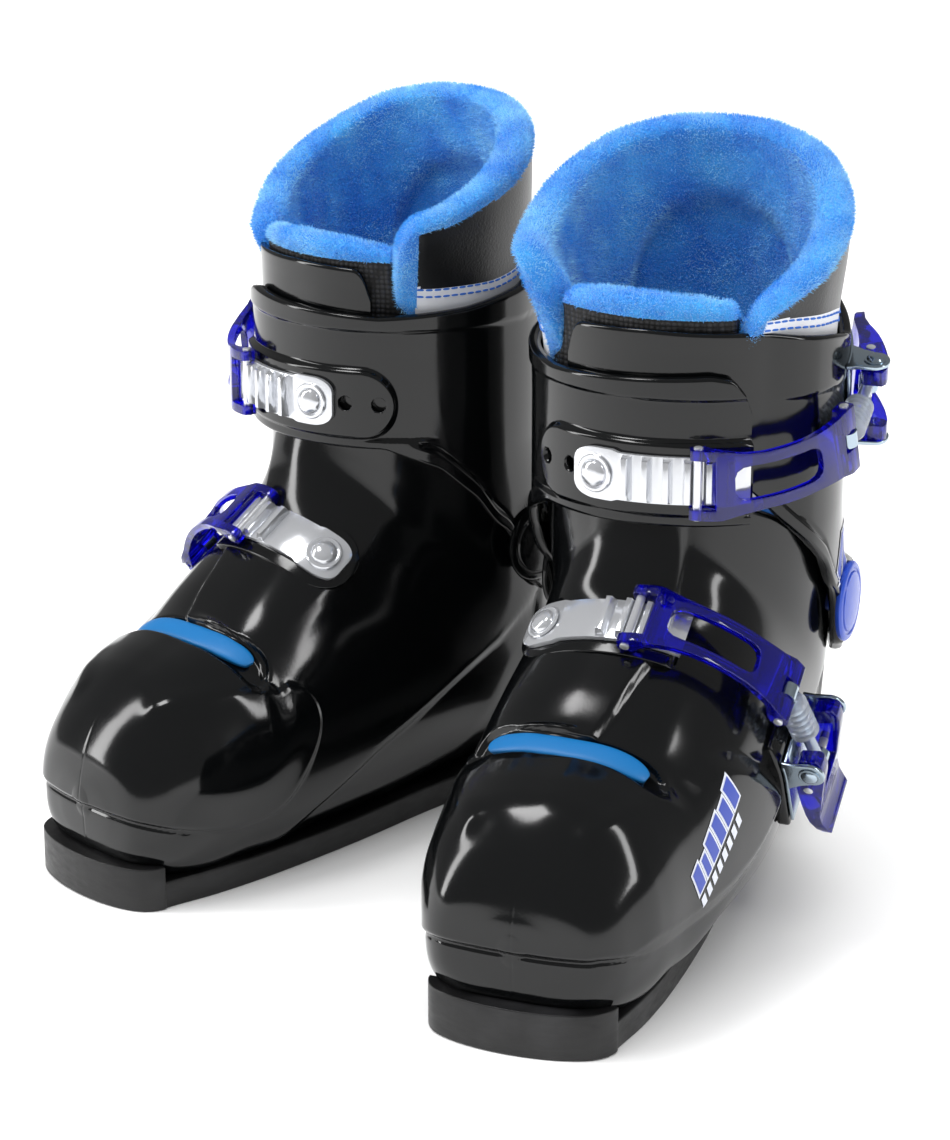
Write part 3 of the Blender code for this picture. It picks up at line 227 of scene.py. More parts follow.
def make_piece(name, points, faces, material, body, replaces=(), angle=35.0, slot=None):
    """A mesh of the left boot that rides on one of its bodies."""
    data = bpy.data.meshes.new(f"left_{name}_look")
    data.from_pydata(to_world(points).tolist(), [], faces)
    shape = bmesh.new()
    shape.from_mesh(data)
    bmesh.ops.remove_doubles(shape, verts=shape.verts, dist=1e-6)
    bmesh.ops.recalc_face_normals(shape, faces=shape.faces)
    shape.to_mesh(data)
    shape.free()
    made = bpy.data.objects.new(data.name, data)
    link(made)
    data.materials.append(material)
    data.shade_smooth()
    data.set_sharp_from_angle(angle=math.radians(angle))
    PIECES.append({"object": made, "body": body, "replaces": list(replaces), "slot": slot})
    return made


def link(thing):
    bpy.context.scene.collection.objects.link(thing)


def apply_modifiers(piece):
    """Freeze a piece's modifiers into a plain mesh."""
    graph = bpy.context.evaluated_depsgraph_get()
    data = bpy.data.meshes.new_from_object(piece.evaluated_get(graph))
    old = piece.data
    piece.modifiers.clear()
    piece.data = data
    bpy.data.meshes.remove(old)


def round_edges(piece, width, segments, angle):
    """Bevel the edges that turn by more than an angle."""
    step = piece.modifiers.new("rounded", "BEVEL")
    step.width = width * MM
    step.segments = segments
    step.limit_method = "ANGLE"
    step.angle_limit = math.radians(angle)
    step.harden_normals = False
    apply_modifiers(piece)
    piece.data.shade_smooth()
    piece.data.set_sharp_from_angle(angle=math.radians(50))


def carve(piece, *cutters, join=False):
    """Cut shapes out of a piece, or join them to it. The cutters are used up."""
    for cutter in cutters:
        step = piece.modifiers.new("carve", "BOOLEAN")
        step.operation = "UNION" if join else "DIFFERENCE"
        step.object = cutter
        step.solver = "MANIFOLD"
    apply_modifiers(piece)
    for cutter in cutters:
        PIECES[:] = [entry for entry in PIECES if entry["object"] != cutter]
        bpy.data.objects.remove(cutter, do_unlink=True)

# %% [markdown]
# ## Materials
# Every finish is a small network of nodes. One function adds a node, sets its values and joins its
# sockets. Colours are written as screen colours in hex and turned into the linear values shaders use.

# %% Material helpers
def linear(code):
    """A screen colour such as '4a9bee' as linear red, green and blue."""
    channels = [int(code[i:i + 2], 16) / 255 for i in (0, 2, 4)]
    return tuple(c / 12.92 if c <= 0.04045 else ((c + 0.055) / 1.055) ** 2.4 for c in channels)


def add_node(tree, kind, values=None, links=None, **settings):
    """Add a node, set its properties and socket values, and link sockets to other nodes' outputs."""
    node = tree.nodes.new(kind)
    for key, value in settings.items():
        setattr(node, key, value)
    for key, value in (values or {}).items():
        node.inputs[key].default_value = value
    for key, source in (links or {}).items():
        tree.links.new(source, node.inputs[key])
    return node


def new_material(name, colour, roughness, metallic=0.0, **more):
    """A Principled material. Extra keyword words set further sockets by name, with _ for a space."""
    material = bpy.data.materials.new(name)
    material.use_nodes = True
    shader = material.node_tree.nodes["Principled BSDF"]
    shader.inputs["Base Color"].default_value = (*linear(colour), 1.0)
    shader.inputs["Roughness"].default_value = roughness
    shader.inputs["Metallic"].default_value = metallic
    for key, value in more.items():
        shader.inputs[key.replace("_", " ")].default_value = value
    return material


def object_noise(material, scale, detail=3.0, stretch=(1, 1, 1)):
    """Noise over the object's own space. Scale is in cycles per metre."""
    tree = material.node_tree
    where = add_node(tree, "ShaderNodeTexCoord")
    mapping = add_node(tree, "ShaderNodeMapping", {"Scale": stretch}, {"Vector": where.outputs["Object"]})
    noise = add_node(tree, "ShaderNodeTexNoise", {"Scale": scale, "Detail": detail},
                     {"Vector": mapping.outputs[0]})
    return noise.outputs[0]


def drive(material, output, socket):
    """Link a node's output to a socket of the material's shader."""
    tree = material.node_tree
    tree.links.new(output, tree.nodes["Principled BSDF"].inputs[socket])


def add_bump(material, texture, strength, height):
    """Bumps from a texture. Height is in metres, and a negative one turns them inside out."""
    bump = add_node(material.node_tree, "ShaderNodeBump", {"Strength": strength, "Distance": height},
                    {"Height": texture})
    drive(material, bump.outputs[0], "Normal")


def mottle(material, texture, dark, light, low, high):
    """Colour a material by a texture: dark below low, light above high."""
    ramp = add_node(material.node_tree, "ShaderNodeValToRGB", None, {"Fac": texture})
    for stop, place, colour in zip(ramp.color_ramp.elements, (low, high), (dark, light)):
        stop.position = place
        stop.color = (*linear(colour), 1.0)
    drive(material, ramp.outputs[0], "Base Color")


def vary_roughness(material, texture, low, high):
    """Let a texture move the roughness between two values."""
    spread = add_node(material.node_tree, "ShaderNodeMapRange", {"To Min": low, "To Max": high},
                      {"Value": texture})
    drive(material, spread.outputs[0], "Roughness")


def grained(name, colour, roughness, metallic, scale, detail, strength, height):
    """A material with a fine even grain: the noise's scale and detail, the bumps' strength and height."""
    material = new_material(name, colour, roughness, metallic)
    add_bump(material, object_noise(material, scale, detail), strength, height)
    return material


# %% The finishes
pu = new_material("black_polyurethane", "060708", 0.1, IOR=1.48)
add_bump(pu, object_noise(pu, 900.0, 2.0), 0.04, 0.0002)
vary_roughness(pu, object_noise(pu, 45.0, 5.0), 0.07, 0.17)

sole_rubber = new_material("black_sole", "0b0b0c", 0.38)
scuff = object_noise(sole_rubber, 160.0, 8.0, (1, 1, 3))
add_bump(sole_rubber, scuff, 0.25, 0.0006)
mottle(sole_rubber, object_noise(sole_rubber, 28.0, 9.0), "0a0a0b", "29292b", 0.55, 0.8)
vary_roughness(sole_rubber, scuff, 0.25, 0.6)

FLEECE_DARK, FLEECE_MID, FLEECE_LIGHT = "1c82de", "44aaf0", "a0dcf8"
FIBRE_DARK = "35a0ee"
fleece = new_material("blue_fleece", FLEECE_MID, 0.95, Sheen_Weight=0.5, Sheen_Roughness=0.5)
mottle(fleece, object_noise(fleece, 55.0, 5.0), FLEECE_DARK, FLEECE_MID, 0.36, 0.62)
add_bump(fleece, object_noise(fleece, 900.0, 4.0), 0.9, 0.0015)
fibre = new_material("fleece_fibre", FLEECE_MID, 0.8, Sheen_Weight=0.6)
mottle(fibre, object_noise(fibre, 60.0, 6.0), FIBRE_DARK, FLEECE_LIGHT, 0.36, 0.66)

MESH_HOLES = 520.0
black_mesh = new_material("black_mesh", "0b0b0c", 0.7)
where = add_node(black_mesh.node_tree, "ShaderNodeTexCoord")
holes_in = add_node(black_mesh.node_tree, "ShaderNodeTexVoronoi",
                    {"Scale": MESH_HOLES, "Randomness": 0.12}, {"Vector": where.outputs["Object"]})
mottle(black_mesh, holes_in.outputs["Distance"], "2a2a2c", "030303", 0.3, 0.55)
add_bump(black_mesh, holes_in.outputs["Distance"], 0.9, -0.0008)

gasket_rubber = grained("blue_rubber", "0c68a6", 0.42, 0.0, 500.0, 3.0, 0.1, 0.0003)
white_leather = grained("white_leatherette", "e9ebf0", 0.45, 0.0, 900.0, 3.0, 0.2, 0.0003)
black_leather = grained("black_leatherette", "0e0f11", 0.33, 0.0, 1100.0, 4.0, 0.3, 0.0004)
chrome = grained("chrome_steel", "dcdee2", 0.13, 0.7, 260.0, 3.0, 0.12, 0.0003)
zinc = grained("zinc_plated_steel", "a9b8c4", 0.2, 1.0, 400.0, 3.0, 0.15, 0.0003)
thread = new_material("blue_thread", "2f6fd0", 0.6)
cobalt = new_material("cobalt_polycarbonate", "0c0ab4", 0.05, IOR=1.58, Transmission_Weight=0.86)
clear = new_material("clear_polycarbonate", "dfe6f2", 0.09, IOR=1.58, Transmission_Weight=0.65)
cap_plastic = new_material("blue_cap", "2a4fc0", 0.25)
print_blue = new_material("print_blue", "3a50b4", 0.4)
print_white = new_material("print_white", "e4e8f4", 0.4)

# %% [markdown]
# ## The clog
# The clog's surface is a fine grid. Raised and sunk areas are signed distances to outlines drawn in a
# side view (forward, up) or from above (forward, side), turned into heights by smooth steps: the toe
# cap with its lip, the raised outer panel, the instep flap, the trough for the seal, and a long crease.

# %% Relief of the clog
CAP_INNER = (
    (130, 36), (121, 36.1), (108, 32.5), (87, 27.5), (70, 28.7), (58.7, 35.9), (49.4, 49),
    (45.7, 60.8), (48.5, 70.5), (56, 75.5), (64, 77), (70, 110), (130, 110),
)
CAP_OUTER = (
    (130, 36), (121.6, 36.3), (116.6, 36.5), (94.3, 32.5), (57.8, 32.8), (27.3, 39.5), (5, 53), (6, 60),
    (21.9, 72), (38, 82), (49.4, 84.6), (60, 81.8), (70, 79.5), (74, 110), (130, 110),
)
FLAP_EDGE = (
    (-40, 22), (-12, 21), (5, 20.5), (25, 20), (37, 17.8), (45, 15), (56, 12), (68.4, 6.5), (68.5, -4),
    (68.5, -12), (66.5, -26), (64, -33), (58, -60), (-40, -60),
)
SEAL_ARC = ((66.0, -31.0), (69.0, -20.0), (70.8, -8.0), (71.4, 2.0), (71.6, 14.0), (72.0, 30.0))
LONG_CREASE = ((64, 15), (50, 22.6), (16, 41), (-25, 57.5), (-51, 67.5), (-75, 84))
UNDER_CREASE = ((-75, -20), (64, -20))
BROWS = (
    ((70, 36), (78.5, 33.6), (93.6, 27.3), (106, 20)),
    ((68, -38), (73, -35.7), (90, -29), (104, -21)),
)
CAP_STEP, PANEL_STEP, FLAP_STEP, SEAL_DEPTH = 1.3, 3.2, 2.4, 2.6
CAP_SWELL, LIP_GROOVE, BROW_RISE, CREASE_DEPTH, SEAM_DEPTH = 1.4, 0.6, 1.1, 1.6, 0.12
TOP_FROM = 60.0


def smooth_outline(outline):
    return spline(outline, np.linspace(0, len(outline) - 1, 90))


def clog_relief(points):
    """How far the surface stands out from the plain clog, at points (forward, side, up)."""
    forward, side, up = points[..., 0], points[..., 1], points[..., 2]
    outer = smoothstep(-6, 6, side)
    inner_cap = distance_inside(forward, up, smooth_outline(CAP_INNER))
    outer_cap = distance_inside(forward, up, smooth_outline(CAP_OUTER))
    at_front = smoothstep(96, 112, forward)
    relief = (1 - outer) * CAP_STEP * smoothstep(-1.6, 1.2, inner_cap)
    relief += (1 - outer) * CAP_SWELL * smoothstep(2, 16, inner_cap) * (1 - at_front)
    slope = np.clip((outer_cap + 1.4) / (2.6 + 5.0 * (1 - at_front)), 0, 1)
    relief += outer * (CAP_STEP + (PANEL_STEP - CAP_STEP) * (1 - at_front)) * slope
    groove = np.where(side > 0, outer_cap, inner_cap)
    relief -= LIP_GROOVE * at_front * np.exp(-((groove + 1.4) / 1.0) ** 2)
    above = up > TOP_FROM
    flap = distance_inside(forward, side, FLAP_EDGE)
    flap_rise = FLAP_STEP * smoothstep(-2.0, 1.4, flap) * smoothstep(-42, -26, side)
    relief += np.where(above, flap_rise, 0)
    seal = distance_to_line(forward, side, SEAL_ARC)
    relief -= np.where(above, (SEAL_DEPTH + FLAP_STEP) * smoothstep(6.2, 4.6, seal) * 0.55, 0)
    for line in BROWS:
        near = distance_to_line(forward, side, line)
        relief += np.where(above & (forward > 60), BROW_RISE * np.exp(-(near / 4.0) ** 2), 0)
    crease = distance_inside(forward, up, LONG_CREASE + UNDER_CREASE)
    fade = smoothstep(64, 45, forward) * smoothstep(-110, -80, forward)
    relief -= CREASE_DEPTH * smoothstep(-1.5, 3.0, crease) * smoothstep(46, 6, crease) * fade
    seam = SEAM_DEPTH * np.exp(-(side / 0.35) ** 2) * smoothstep(112, 120, forward)
    relief -= np.where(np.abs(side) < 60, seam, 0)
    return relief


# %% Build the clog
FINE = 1.0
LAST_ROW = len(CLOG) - 1.0
SPANS = ((0.0, 2.0, 40), (2.0, 9.5, 190), (9.5, LAST_ROW, 46))
COLUMNS = int(260 * FINE)
TIP_SCALES = (0.04, 0.2, 0.35, 0.5, 0.65, 0.8, 0.92)
TIP_BULGE, CLOG_WALL, CLOG_FLOOR = 0.7, 3.4, 11.0


def even_rings(places):
    """Rings with columns spaced evenly along them, closer together over the top than underneath."""
    dense = clog_grid(places, np.linspace(0, 2 * math.pi, 1441))
    half = np.interp(np.linspace(0, 1, COLUMNS // 2 + 1), (0, 0.84, 1), (0, 0.38, 0.5))
    wanted = np.concatenate([half, 1 - half[-2:0:-1]])
    rings = []
    for ring in dense:
        steps = np.linalg.norm(np.diff(ring, axis=0), axis=1)
        share = np.concatenate([[0], np.cumsum(steps)])
        share /= share[-1]
        rings.append(np.stack([np.interp(wanted, share, ring[:, i]) for i in range(3)], axis=1))
    return np.array(rings)


def outward_normals(rings, row):
    """Normals of the clog's rings, turned so that they point up on top of the given row."""
    normals = grid_normals(rings, True)
    return -normals if normals[row, 0, 2] < 0 else normals


places = np.concatenate([np.linspace(a, b, int(n * FINE), endpoint=b == LAST_ROW) for a, b, n in SPANS])
clog_base = even_rings(places)
tip_centre = clog_base[0].mean(axis=0)
tip = [tip_centre + (clog_base[0] - tip_centre) * scale + np.array([TIP_BULGE * (1 - scale ** 2), 0, 0])
       for scale in TIP_SCALES]
clog_base = np.concatenate([np.array(tip), clog_base])
clog_normals = outward_normals(clog_base, len(places) // 2)
outside = clog_base + clog_normals * clog_relief(clog_base)[..., None]
rim = smoothstep(LAST_ROW - 0.25, LAST_ROW, np.concatenate([np.zeros(len(tip)), places]))[:, None, None]
outside -= clog_normals * rim * 1.2
inner_base = even_rings(np.linspace(LAST_ROW, 1.5, 26))
inside = inner_base - outward_normals(inner_base, 12) * CLOG_WALL
inside[..., 2] = np.maximum(inside[..., 2], CLOG_FLOOR)
shell_points = np.concatenate([outside, inside])
clog_faces = grid_faces(len(shell_points), COLUMNS, wrap_columns=True, caps=True)
clog = make_piece("clog", shell_points, clog_faces, pu, "shell", ("lower_shell",), 80, "shell")
print("clog:", len(clog.data.polygons), "faces")


# %% [markdown]
# The sole has a lug at each end for the binding. Its outline is drawn once for half the width and
# mirrored, then a bevel rounds its edges.

# %% Build the sole
SOLE = (
    (128, -8), (128, 0), (127.6, 8), (126.4, 16), (124, 24), (120.5, 30), (115, 33.6), (108, 34.5),
    (88, 37.2), (60, 38), (20, 36.4), (-25, 32.4), (-70, 31.4), (-112, 31.6), (-119, 29.5),
    (-124.5, 22), (-127.2, 12), (-128, 0), (-128, -8),
)


def sole_slab(name, low, high, start, end, grow):
    """A flat slab of the sole between two stations, with its outline on a smooth curve."""
    outline = spline(SOLE, np.linspace(1, len(SOLE) - 2, 160))
    half = outline[(outline[:, 0] <= start) & (outline[:, 0] >= end)] + np.array([0, grow])
    half[:, 1] = np.maximum(half[:, 1], 0.0)
    ring = np.concatenate([half, half[::-1] * np.array([1, -1])])
    points = [(f, s, z) for z in (low, high) for f, s in ring]
    faces = grid_faces(2, len(ring), wrap_columns=True, caps=True)
    return make_piece(name, points, faces, sole_rubber, "shell", angle=60)


sole = sole_slab("sole", 0.0, 10.5, 126.4, -126.4, -0.8)
toe_lug = sole_slab("toe_lug", 0.4, 17.0, 128, 112, 0.0)
heel_lug = sole_slab("heel_lug", 0.4, 25.0, -104, -128, 0.0)
for piece in (sole, toe_lug, heel_lug):
    round_edges(piece, 1.1, 3, 50)

# %% [markdown]
# The blue seal lies in a trough across the toe. It follows an arc drawn from above, dropped onto the
# clog, with a rounded section that narrows to round ends.

# %% Build the toe seal
def tree_of(grid, wrap_columns=True):
    """A search tree over a grid, for casting rays at it."""
    rows, columns = grid.shape[:2]
    points = [Vector(p) for p in grid.reshape(-1, 3)]
    return BVHTree.FromPolygons(points, grid_faces(rows, columns, wrap_columns=wrap_columns))


SEAL_HALF, SEAL_WIDTH, SEAL_HEIGHT, SEAL_DROP, SEAL_LIFT = 29.5, 4.7, 1.5, 3.0, 0.3
SEAL_RINGS, SEAL_SIDES = 60, 20
clog_tree = tree_of(outside)
base_tree = tree_of(clog_base)
seal_path = np.array(SEAL_ARC)
seal_rings = []
for across in np.sin(np.linspace(-math.pi / 2, math.pi / 2, SEAL_RINGS)) * SEAL_HALF:
    forward = np.interp(across, seal_path[:, 1], seal_path[:, 0])
    hit, normal, _, _ = base_tree.ray_cast(Vector((forward, across, 200)), Vector((0, 0, -1)))
    if normal.z < 0:
        normal = -normal
    ahead = Vector((1, 0, 0)) - normal * normal.x
    ahead.normalize()
    taper = max(1 - abs(across / (SEAL_HALF + 0.05)) ** 7, 0.0) ** 0.5
    ring = []
    for step in range(SEAL_SIDES):
        turn = 2 * math.pi * step / SEAL_SIDES
        reach = powered(math.cos(turn), 0.62) * SEAL_WIDTH * (0.25 + 0.75 * taper)
        depth = SEAL_HEIGHT if turn < math.pi else SEAL_DROP
        rise = powered(math.sin(turn), 0.8) * depth * (0.4 + 0.6 * taper)
        ring.append(hit + ahead * reach + normal * (rise + SEAL_LIFT))
    seal_rings.append(ring)
seal_faces = grid_faces(SEAL_RINGS, SEAL_SIDES, wrap_columns=True, caps=True)
make_piece("gasket", np.array(seal_rings), seal_faces, gasket_rubber, "shell", ("toe_gasket",), 60, "gasket")

# %% [markdown]
# ## The cuff
# The cuff wraps the leg and overlaps itself in front. Its section at each angle is a loop: up the
# outside, over a rounded edge, down the inside. Relief on the outside gives the strap pad, the lips,
# the band along the arch at the ankle and the round bosses of the ankle rivets.

# %% Build the cuff
CUFF_START, CUFF_END, DENSE_FROM = -36.0, 400.0, 285.0
WALL, FLAP_WALL, TUCK = 3.5, 2.6, 3.9
BOSSES = ((62.0, 1.0), (-50.0, -1.0))
PAD_FROM, PAD_TO, PAD_UP, PAD_HALF, PAD_RISE = 314.0, 396.0, 171.5, 13.0, 2.2
CUFF_RADIUS = 57.0
FRONT_LIP, FLAP_BAND, ANKLE_BAND, ANKLE_GROOVE, SIDE_STEP = 1.1, 0.9, 1.2, 0.8, 0.5


def cuff_relief(degrees, heights, low):
    """How far the outside stands out from the plain wall: pad, lips, bands and grooves."""
    outer_flap = smoothstep(225, 240, degrees)
    along = np.clip(degrees, PAD_FROM + math.degrees(PAD_HALF / CUFF_RADIUS), PAD_TO)
    away = np.hypot(np.radians(degrees - along) * CUFF_RADIUS, heights - PAD_UP)
    relief = PAD_RISE * smoothstep(PAD_HALF + 1.3, PAD_HALF - 0.7, away)
    relief += smoothstep(296, 306, degrees) * FRONT_LIP * smoothstep(158.4, 157.2, heights)
    relief += outer_flap * FLAP_BAND * smoothstep(199.2, 200.4, heights) * smoothstep(240, 262, degrees)
    ankle = smoothstep(48, 62, degrees) * smoothstep(312, 298, degrees)
    relief += ankle * ANKLE_BAND * smoothstep(6.4, 5.4, heights - low)
    relief -= ankle * ANKLE_GROOVE * np.exp(-((heights - low - 7.6) / 0.7) ** 2)
    back = smoothstep(46, 60, degrees) * smoothstep(240, 226, degrees)
    relief += SIDE_STEP * smoothstep(196.5, 198, heights) * back
    return relief


def boss_shift(points):
    """How far the round seats of the ankle rivets stand out, sideways."""
    shift = np.zeros(points.shape[:-1])
    for face, sign in BOSSES:
        away = np.hypot(points[..., 0] - PIVOT[0], points[..., 2] - PIVOT[1])
        seat = smoothstep(19.0, 16.0, away)
        gap = np.maximum(sign * (face - points[..., 1]), 0.0)
        shift += np.where(points[..., 1] * sign > 20, seat * gap * sign, 0.0)
    return shift


STEPS, UP_STEPS = ((560, 90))
EDGE = 1.1
degrees = np.concatenate([np.linspace(CUFF_START, DENSE_FROM, STEPS // 2, endpoint=False),
                          np.linspace(DENSE_FROM, CUFF_END, STEPS // 2)])[:, None]
low = edge_height(CUFF_LOW, degrees, 2.0)
high = edge_height(CUFF_TOP, degrees, 1.2)
past_tuck = smoothstep(46, 70, degrees)
outer_inset = TUCK * (1 - past_tuck)
wall = FLAP_WALL + (WALL - FLAP_WALL) * past_tuck
heights_out = low + EDGE + (high - low - 2 * EDGE) * np.linspace(0, 1, UP_STEPS)[None, :]
all_degrees = degrees + 0 * heights_out
plain = leg_grid(all_degrees, heights_out, outer_inset + 0 * heights_out)
outward = leg_grid(all_degrees, heights_out, outer_inset - 1.0 + 0 * heights_out) - plain
outward /= np.linalg.norm(outward, axis=2, keepdims=True)
skin_out = plain + outward * cuff_relief(all_degrees, heights_out, low)[..., None]
skin_out[..., 1] += boss_shift(skin_out)
heights_in = low + EDGE + (high - low - 2 * EDGE) * np.linspace(1, 0, UP_STEPS // 3)[None, :]
skin_in = leg_grid(degrees + 0 * heights_in, heights_in, outer_inset + wall + 0 * heights_in)


def lip(start, end, level, bulge):
    """Points rounding a wall's edge from one face to the other."""
    rows = []
    for turn in (0.25, 0.5, 0.75):
        middle = start + (end - start) * (0.5 - 0.5 * math.cos(math.pi * turn))
        middle[..., 2] = level[:, 0] + bulge * math.sin(math.pi * turn)
        rows.append(middle)
    return np.stack(rows, axis=1)


top_lip = lip(skin_out[:, -1], skin_in[:, 0], high - EDGE, EDGE)
low_lip = lip(skin_in[:, -1], skin_out[:, 0], low + EDGE, -EDGE)
cuff_grid = np.concatenate([skin_out, top_lip, skin_in, low_lip], axis=1)
cuff_faces = grid_faces(STEPS, cuff_grid.shape[1], wrap_columns=True, caps=True)
cuff = make_piece("cuff", cuff_grid, cuff_faces, pu, "cuff_body", ("cuff",), 80, "shell")
print("cuff:", len(cuff.data.polygons), "faces")


# %% [markdown]
# ## Shapes in a buckle's coordinates
# A buckle bends round the shell. Its coordinates are a radius, an angle round an axis, and a distance
# along the axis. Behind the hook the whole line of parts climbs a little, as the pull of the lever does.

# %% Polar coordinates for the buckles
BAIL_PIN_RISE, CRANK_PIN_RISE, PIVOT_RISE, HOOK_RISE = 8.0, 8.0, 10.2, 6.3
BAIL_REACH, ADJUSTER_REACH, LEVER_CRANK = 64.0, 38.0, 12.0
BUCKLES = {
    "cuff": {
        "surface": CUFF_RADIUS, "rivet": -14.4, "hook": 20.6, "teeth": 4, "lean": 16.0, "flat": 180.0,
        "body": "cuff_body", "centre": (-42.0, 6.0, 172.0), "axis": (0.0, 0.0, 1.0),
        "front": (1.0, 0.0, 0.0),
    },
    "instep": {
        "surface": 55.5, "rivet": -30.0, "hook": 5.0, "teeth": 2, "lean": 0.0, "flat": 92.0,
        "body": "shell", "centre": (-2.9, 5.0, 73.1), "axis": (-0.84, 0.0, 0.54),
        "front": (0.54, 0.0, 0.84),
    },
}


class Wrap:
    """Radius, angle and distance along the axis, turned into points."""

    def __init__(self, place, leaning):
        self.centre = Vector(place["centre"])
        self.surface = place["surface"]
        self.flat = math.radians(place["flat"])
        self.lean = math.radians(place["lean"]) if leaning else 0.0
        self.axis = Vector(place["axis"]).normalized()
        front = Vector(place["front"])
        self.front = (front - self.axis * front.dot(self.axis)).normalized()
        self.outer = self.front.cross(self.axis)
        if self.outer.y < 0.0:
            self.outer.negate()
        self.hook = math.radians(place["hook"])
        self.bail = self.hook + BAIL_REACH / (self.surface + BAIL_PIN_RISE)
        self.crank = self.bail + ADJUSTER_REACH / (self.surface + CRANK_PIN_RISE)
        self.pivot = self.crank - LEVER_CRANK / (self.surface + PIVOT_RISE)

    def point(self, rise, angle, along=0.0):
        """A point at a rise over the surface. Past the hook it climbs, and past flat it runs straight."""
        scale = self.surface + BAIL_PIN_RISE
        run = max(angle - self.hook, 0.0) * scale
        share = min(run / BAIL_REACH, 1.0)
        turn = self.lean * share
        climb = self.lean * (run * share / 2.0 if share < 1.0 else run - BAIL_REACH / 2.0)
        angle -= along * math.sin(turn) / scale
        height = along * math.cos(turn) + climb
        bend = min(angle, self.flat)
        spoke = self.front * math.cos(bend) + self.outer * math.sin(bend)
        onward = self.outer * math.cos(bend) - self.front * math.sin(bend)
        straight = (angle - bend) * scale
        return self.centre + spoke * (self.surface + rise) + onward * straight + self.axis * height


def strip(name, wrap, stations, material, body, replaces=(), slot=None):
    """A bar along a buckle. Stations: (angle, low rise, high rise, half width)."""
    table = np.array(stations, float)
    close = [table[0]]
    for before, after in zip(table, table[1:]):
        parts = max(1, math.ceil((after[0] - before[0]) / math.radians(2.0)))
        close += [before + (after - before) * part / parts for part in range(1, parts + 1)]
    points = []
    for angle, inner, outer, half in close:
        points.append([wrap.point(rise, angle, side)
                       for rise, side in ((inner, -half), (inner, half), (outer, half), (outer, -half))])
    return make_piece(name, np.array(points), grid_faces(len(points), 4, wrap_columns=True, caps=True),
                      material, body, replaces, 40, slot)


def slab(wrap, start, end, low, high, half):
    """A plain helper block for cutting."""
    return strip("helper", wrap, ((start, low, high, half), (end, low, high, half)), chrome, "shell")


def turned(name, start, end, profile, material, body, replaces=(), sides=32, slot=None):
    """A turned piece: (distance, radius) along the line from start to end."""
    axis = (end - start).normalized()
    across = axis.orthogonal().normalized()
    other = axis.cross(across)
    rings = []
    for distance, radius in profile:
        rings.append([start + axis * distance + (across * math.cos(a) + other * math.sin(a)) * radius
                      for a in np.linspace(0, 2 * math.pi, sides, endpoint=False)])
    return make_piece(name, np.array(rings), grid_faces(len(profile), sides, wrap_columns=True, caps=True),
                      material, body, replaces, 40, slot)


def rod(wrap, name, rise, angle, half, radius, material, body, replaces=(), slot=None):
    """A round bar along the axis, with slightly smaller ends."""
    start, end = wrap.point(rise, angle, -half), wrap.point(rise, angle, half)
    length = (end - start).length
    profile = ((0, radius * 0.7), (0.3, radius), (length - 0.3, radius), (length, radius * 0.7))
    turned(name, start, end, profile, material, body, replaces, 28, slot)


# %% [markdown]
# A buckle has a toothed ladder with a domed rivet, a forked bail with a hook pin, a ribbed adjuster
# screw, a lever and a bracket. The functions below draw each from its own short table of stations.

# %% Ladder, bail, adjuster, lever and bracket
LADDER_HALF, LADDER_HEAD, LADDER_LOW, LADDER_PLATE = 8.5, 9.3, 2.5, 1.8
TOOTH_PITCH, TOOTH_LENGTH, TOOTH_HEIGHT, TOOTH_HALF = 7.2, 3.6, 3.3, 7.4
LEVER_HALF = 14.5
PIN_RADIUS = 1.7
RIVET_HEAD = (
    (0.1, 2.3), (0.1, 6.6), (0.7, 6.9), (1.1, 6.5), (1.2, 5.3), (1.0, 5.0), (1.9, 4.7), (2.6, 3.8),
    (3.1, 2.3), (3.25, 0.4),
)
BAIL_HALF, BAIL_WAIST, BAIL_EAR, WEB_LOW, WEB_HIGH = 12.5, 10.2, 2.9, 7.7, 10.4
BAIL_WINDOW = (
    (12.5, 2.5), (13.4, 4.6), (15.5, 5.9), (19, 6.2), (42, 6.2), (44.5, 5.6), (46, 4.4), (46.8, 2.5),
)
RIBS, FIRST_RIB, RIB_PITCH = 6, 5.2, 2.9
RIB_PROFILE = ((0.15, 5.0), (0.35, 5.35), (0.6, 5.3), (0.85, 4.5), (1.0, 4.3))
LEVER_SHAPE = (
    (-5, 6.9, 13.4, 14.0), (-3.6, 5.8, 14.6, LEVER_HALF), (0, 5.2, 15.0, LEVER_HALF),
    (6, 4.4, 14.2, LEVER_HALF), (12, 3.6, 13.2, LEVER_HALF), (22, 4.4, 11.8, 14.2),
    (30, 5.2, 10.6, 13.6), (35, 6.2, 10.9, 13.2), (39, 8.2, 12.4, 12.8), (41.5, 10.4, 13.8, 12.0),
)
STUB_FROM = 9.5
STUB_HEAD = ((0, 3.9), (0.5, 4.0), (0.7, 3.4), (0.6, 3.1), (1.3, 2.6), (1.7, 1.5), (1.8, 0.2))


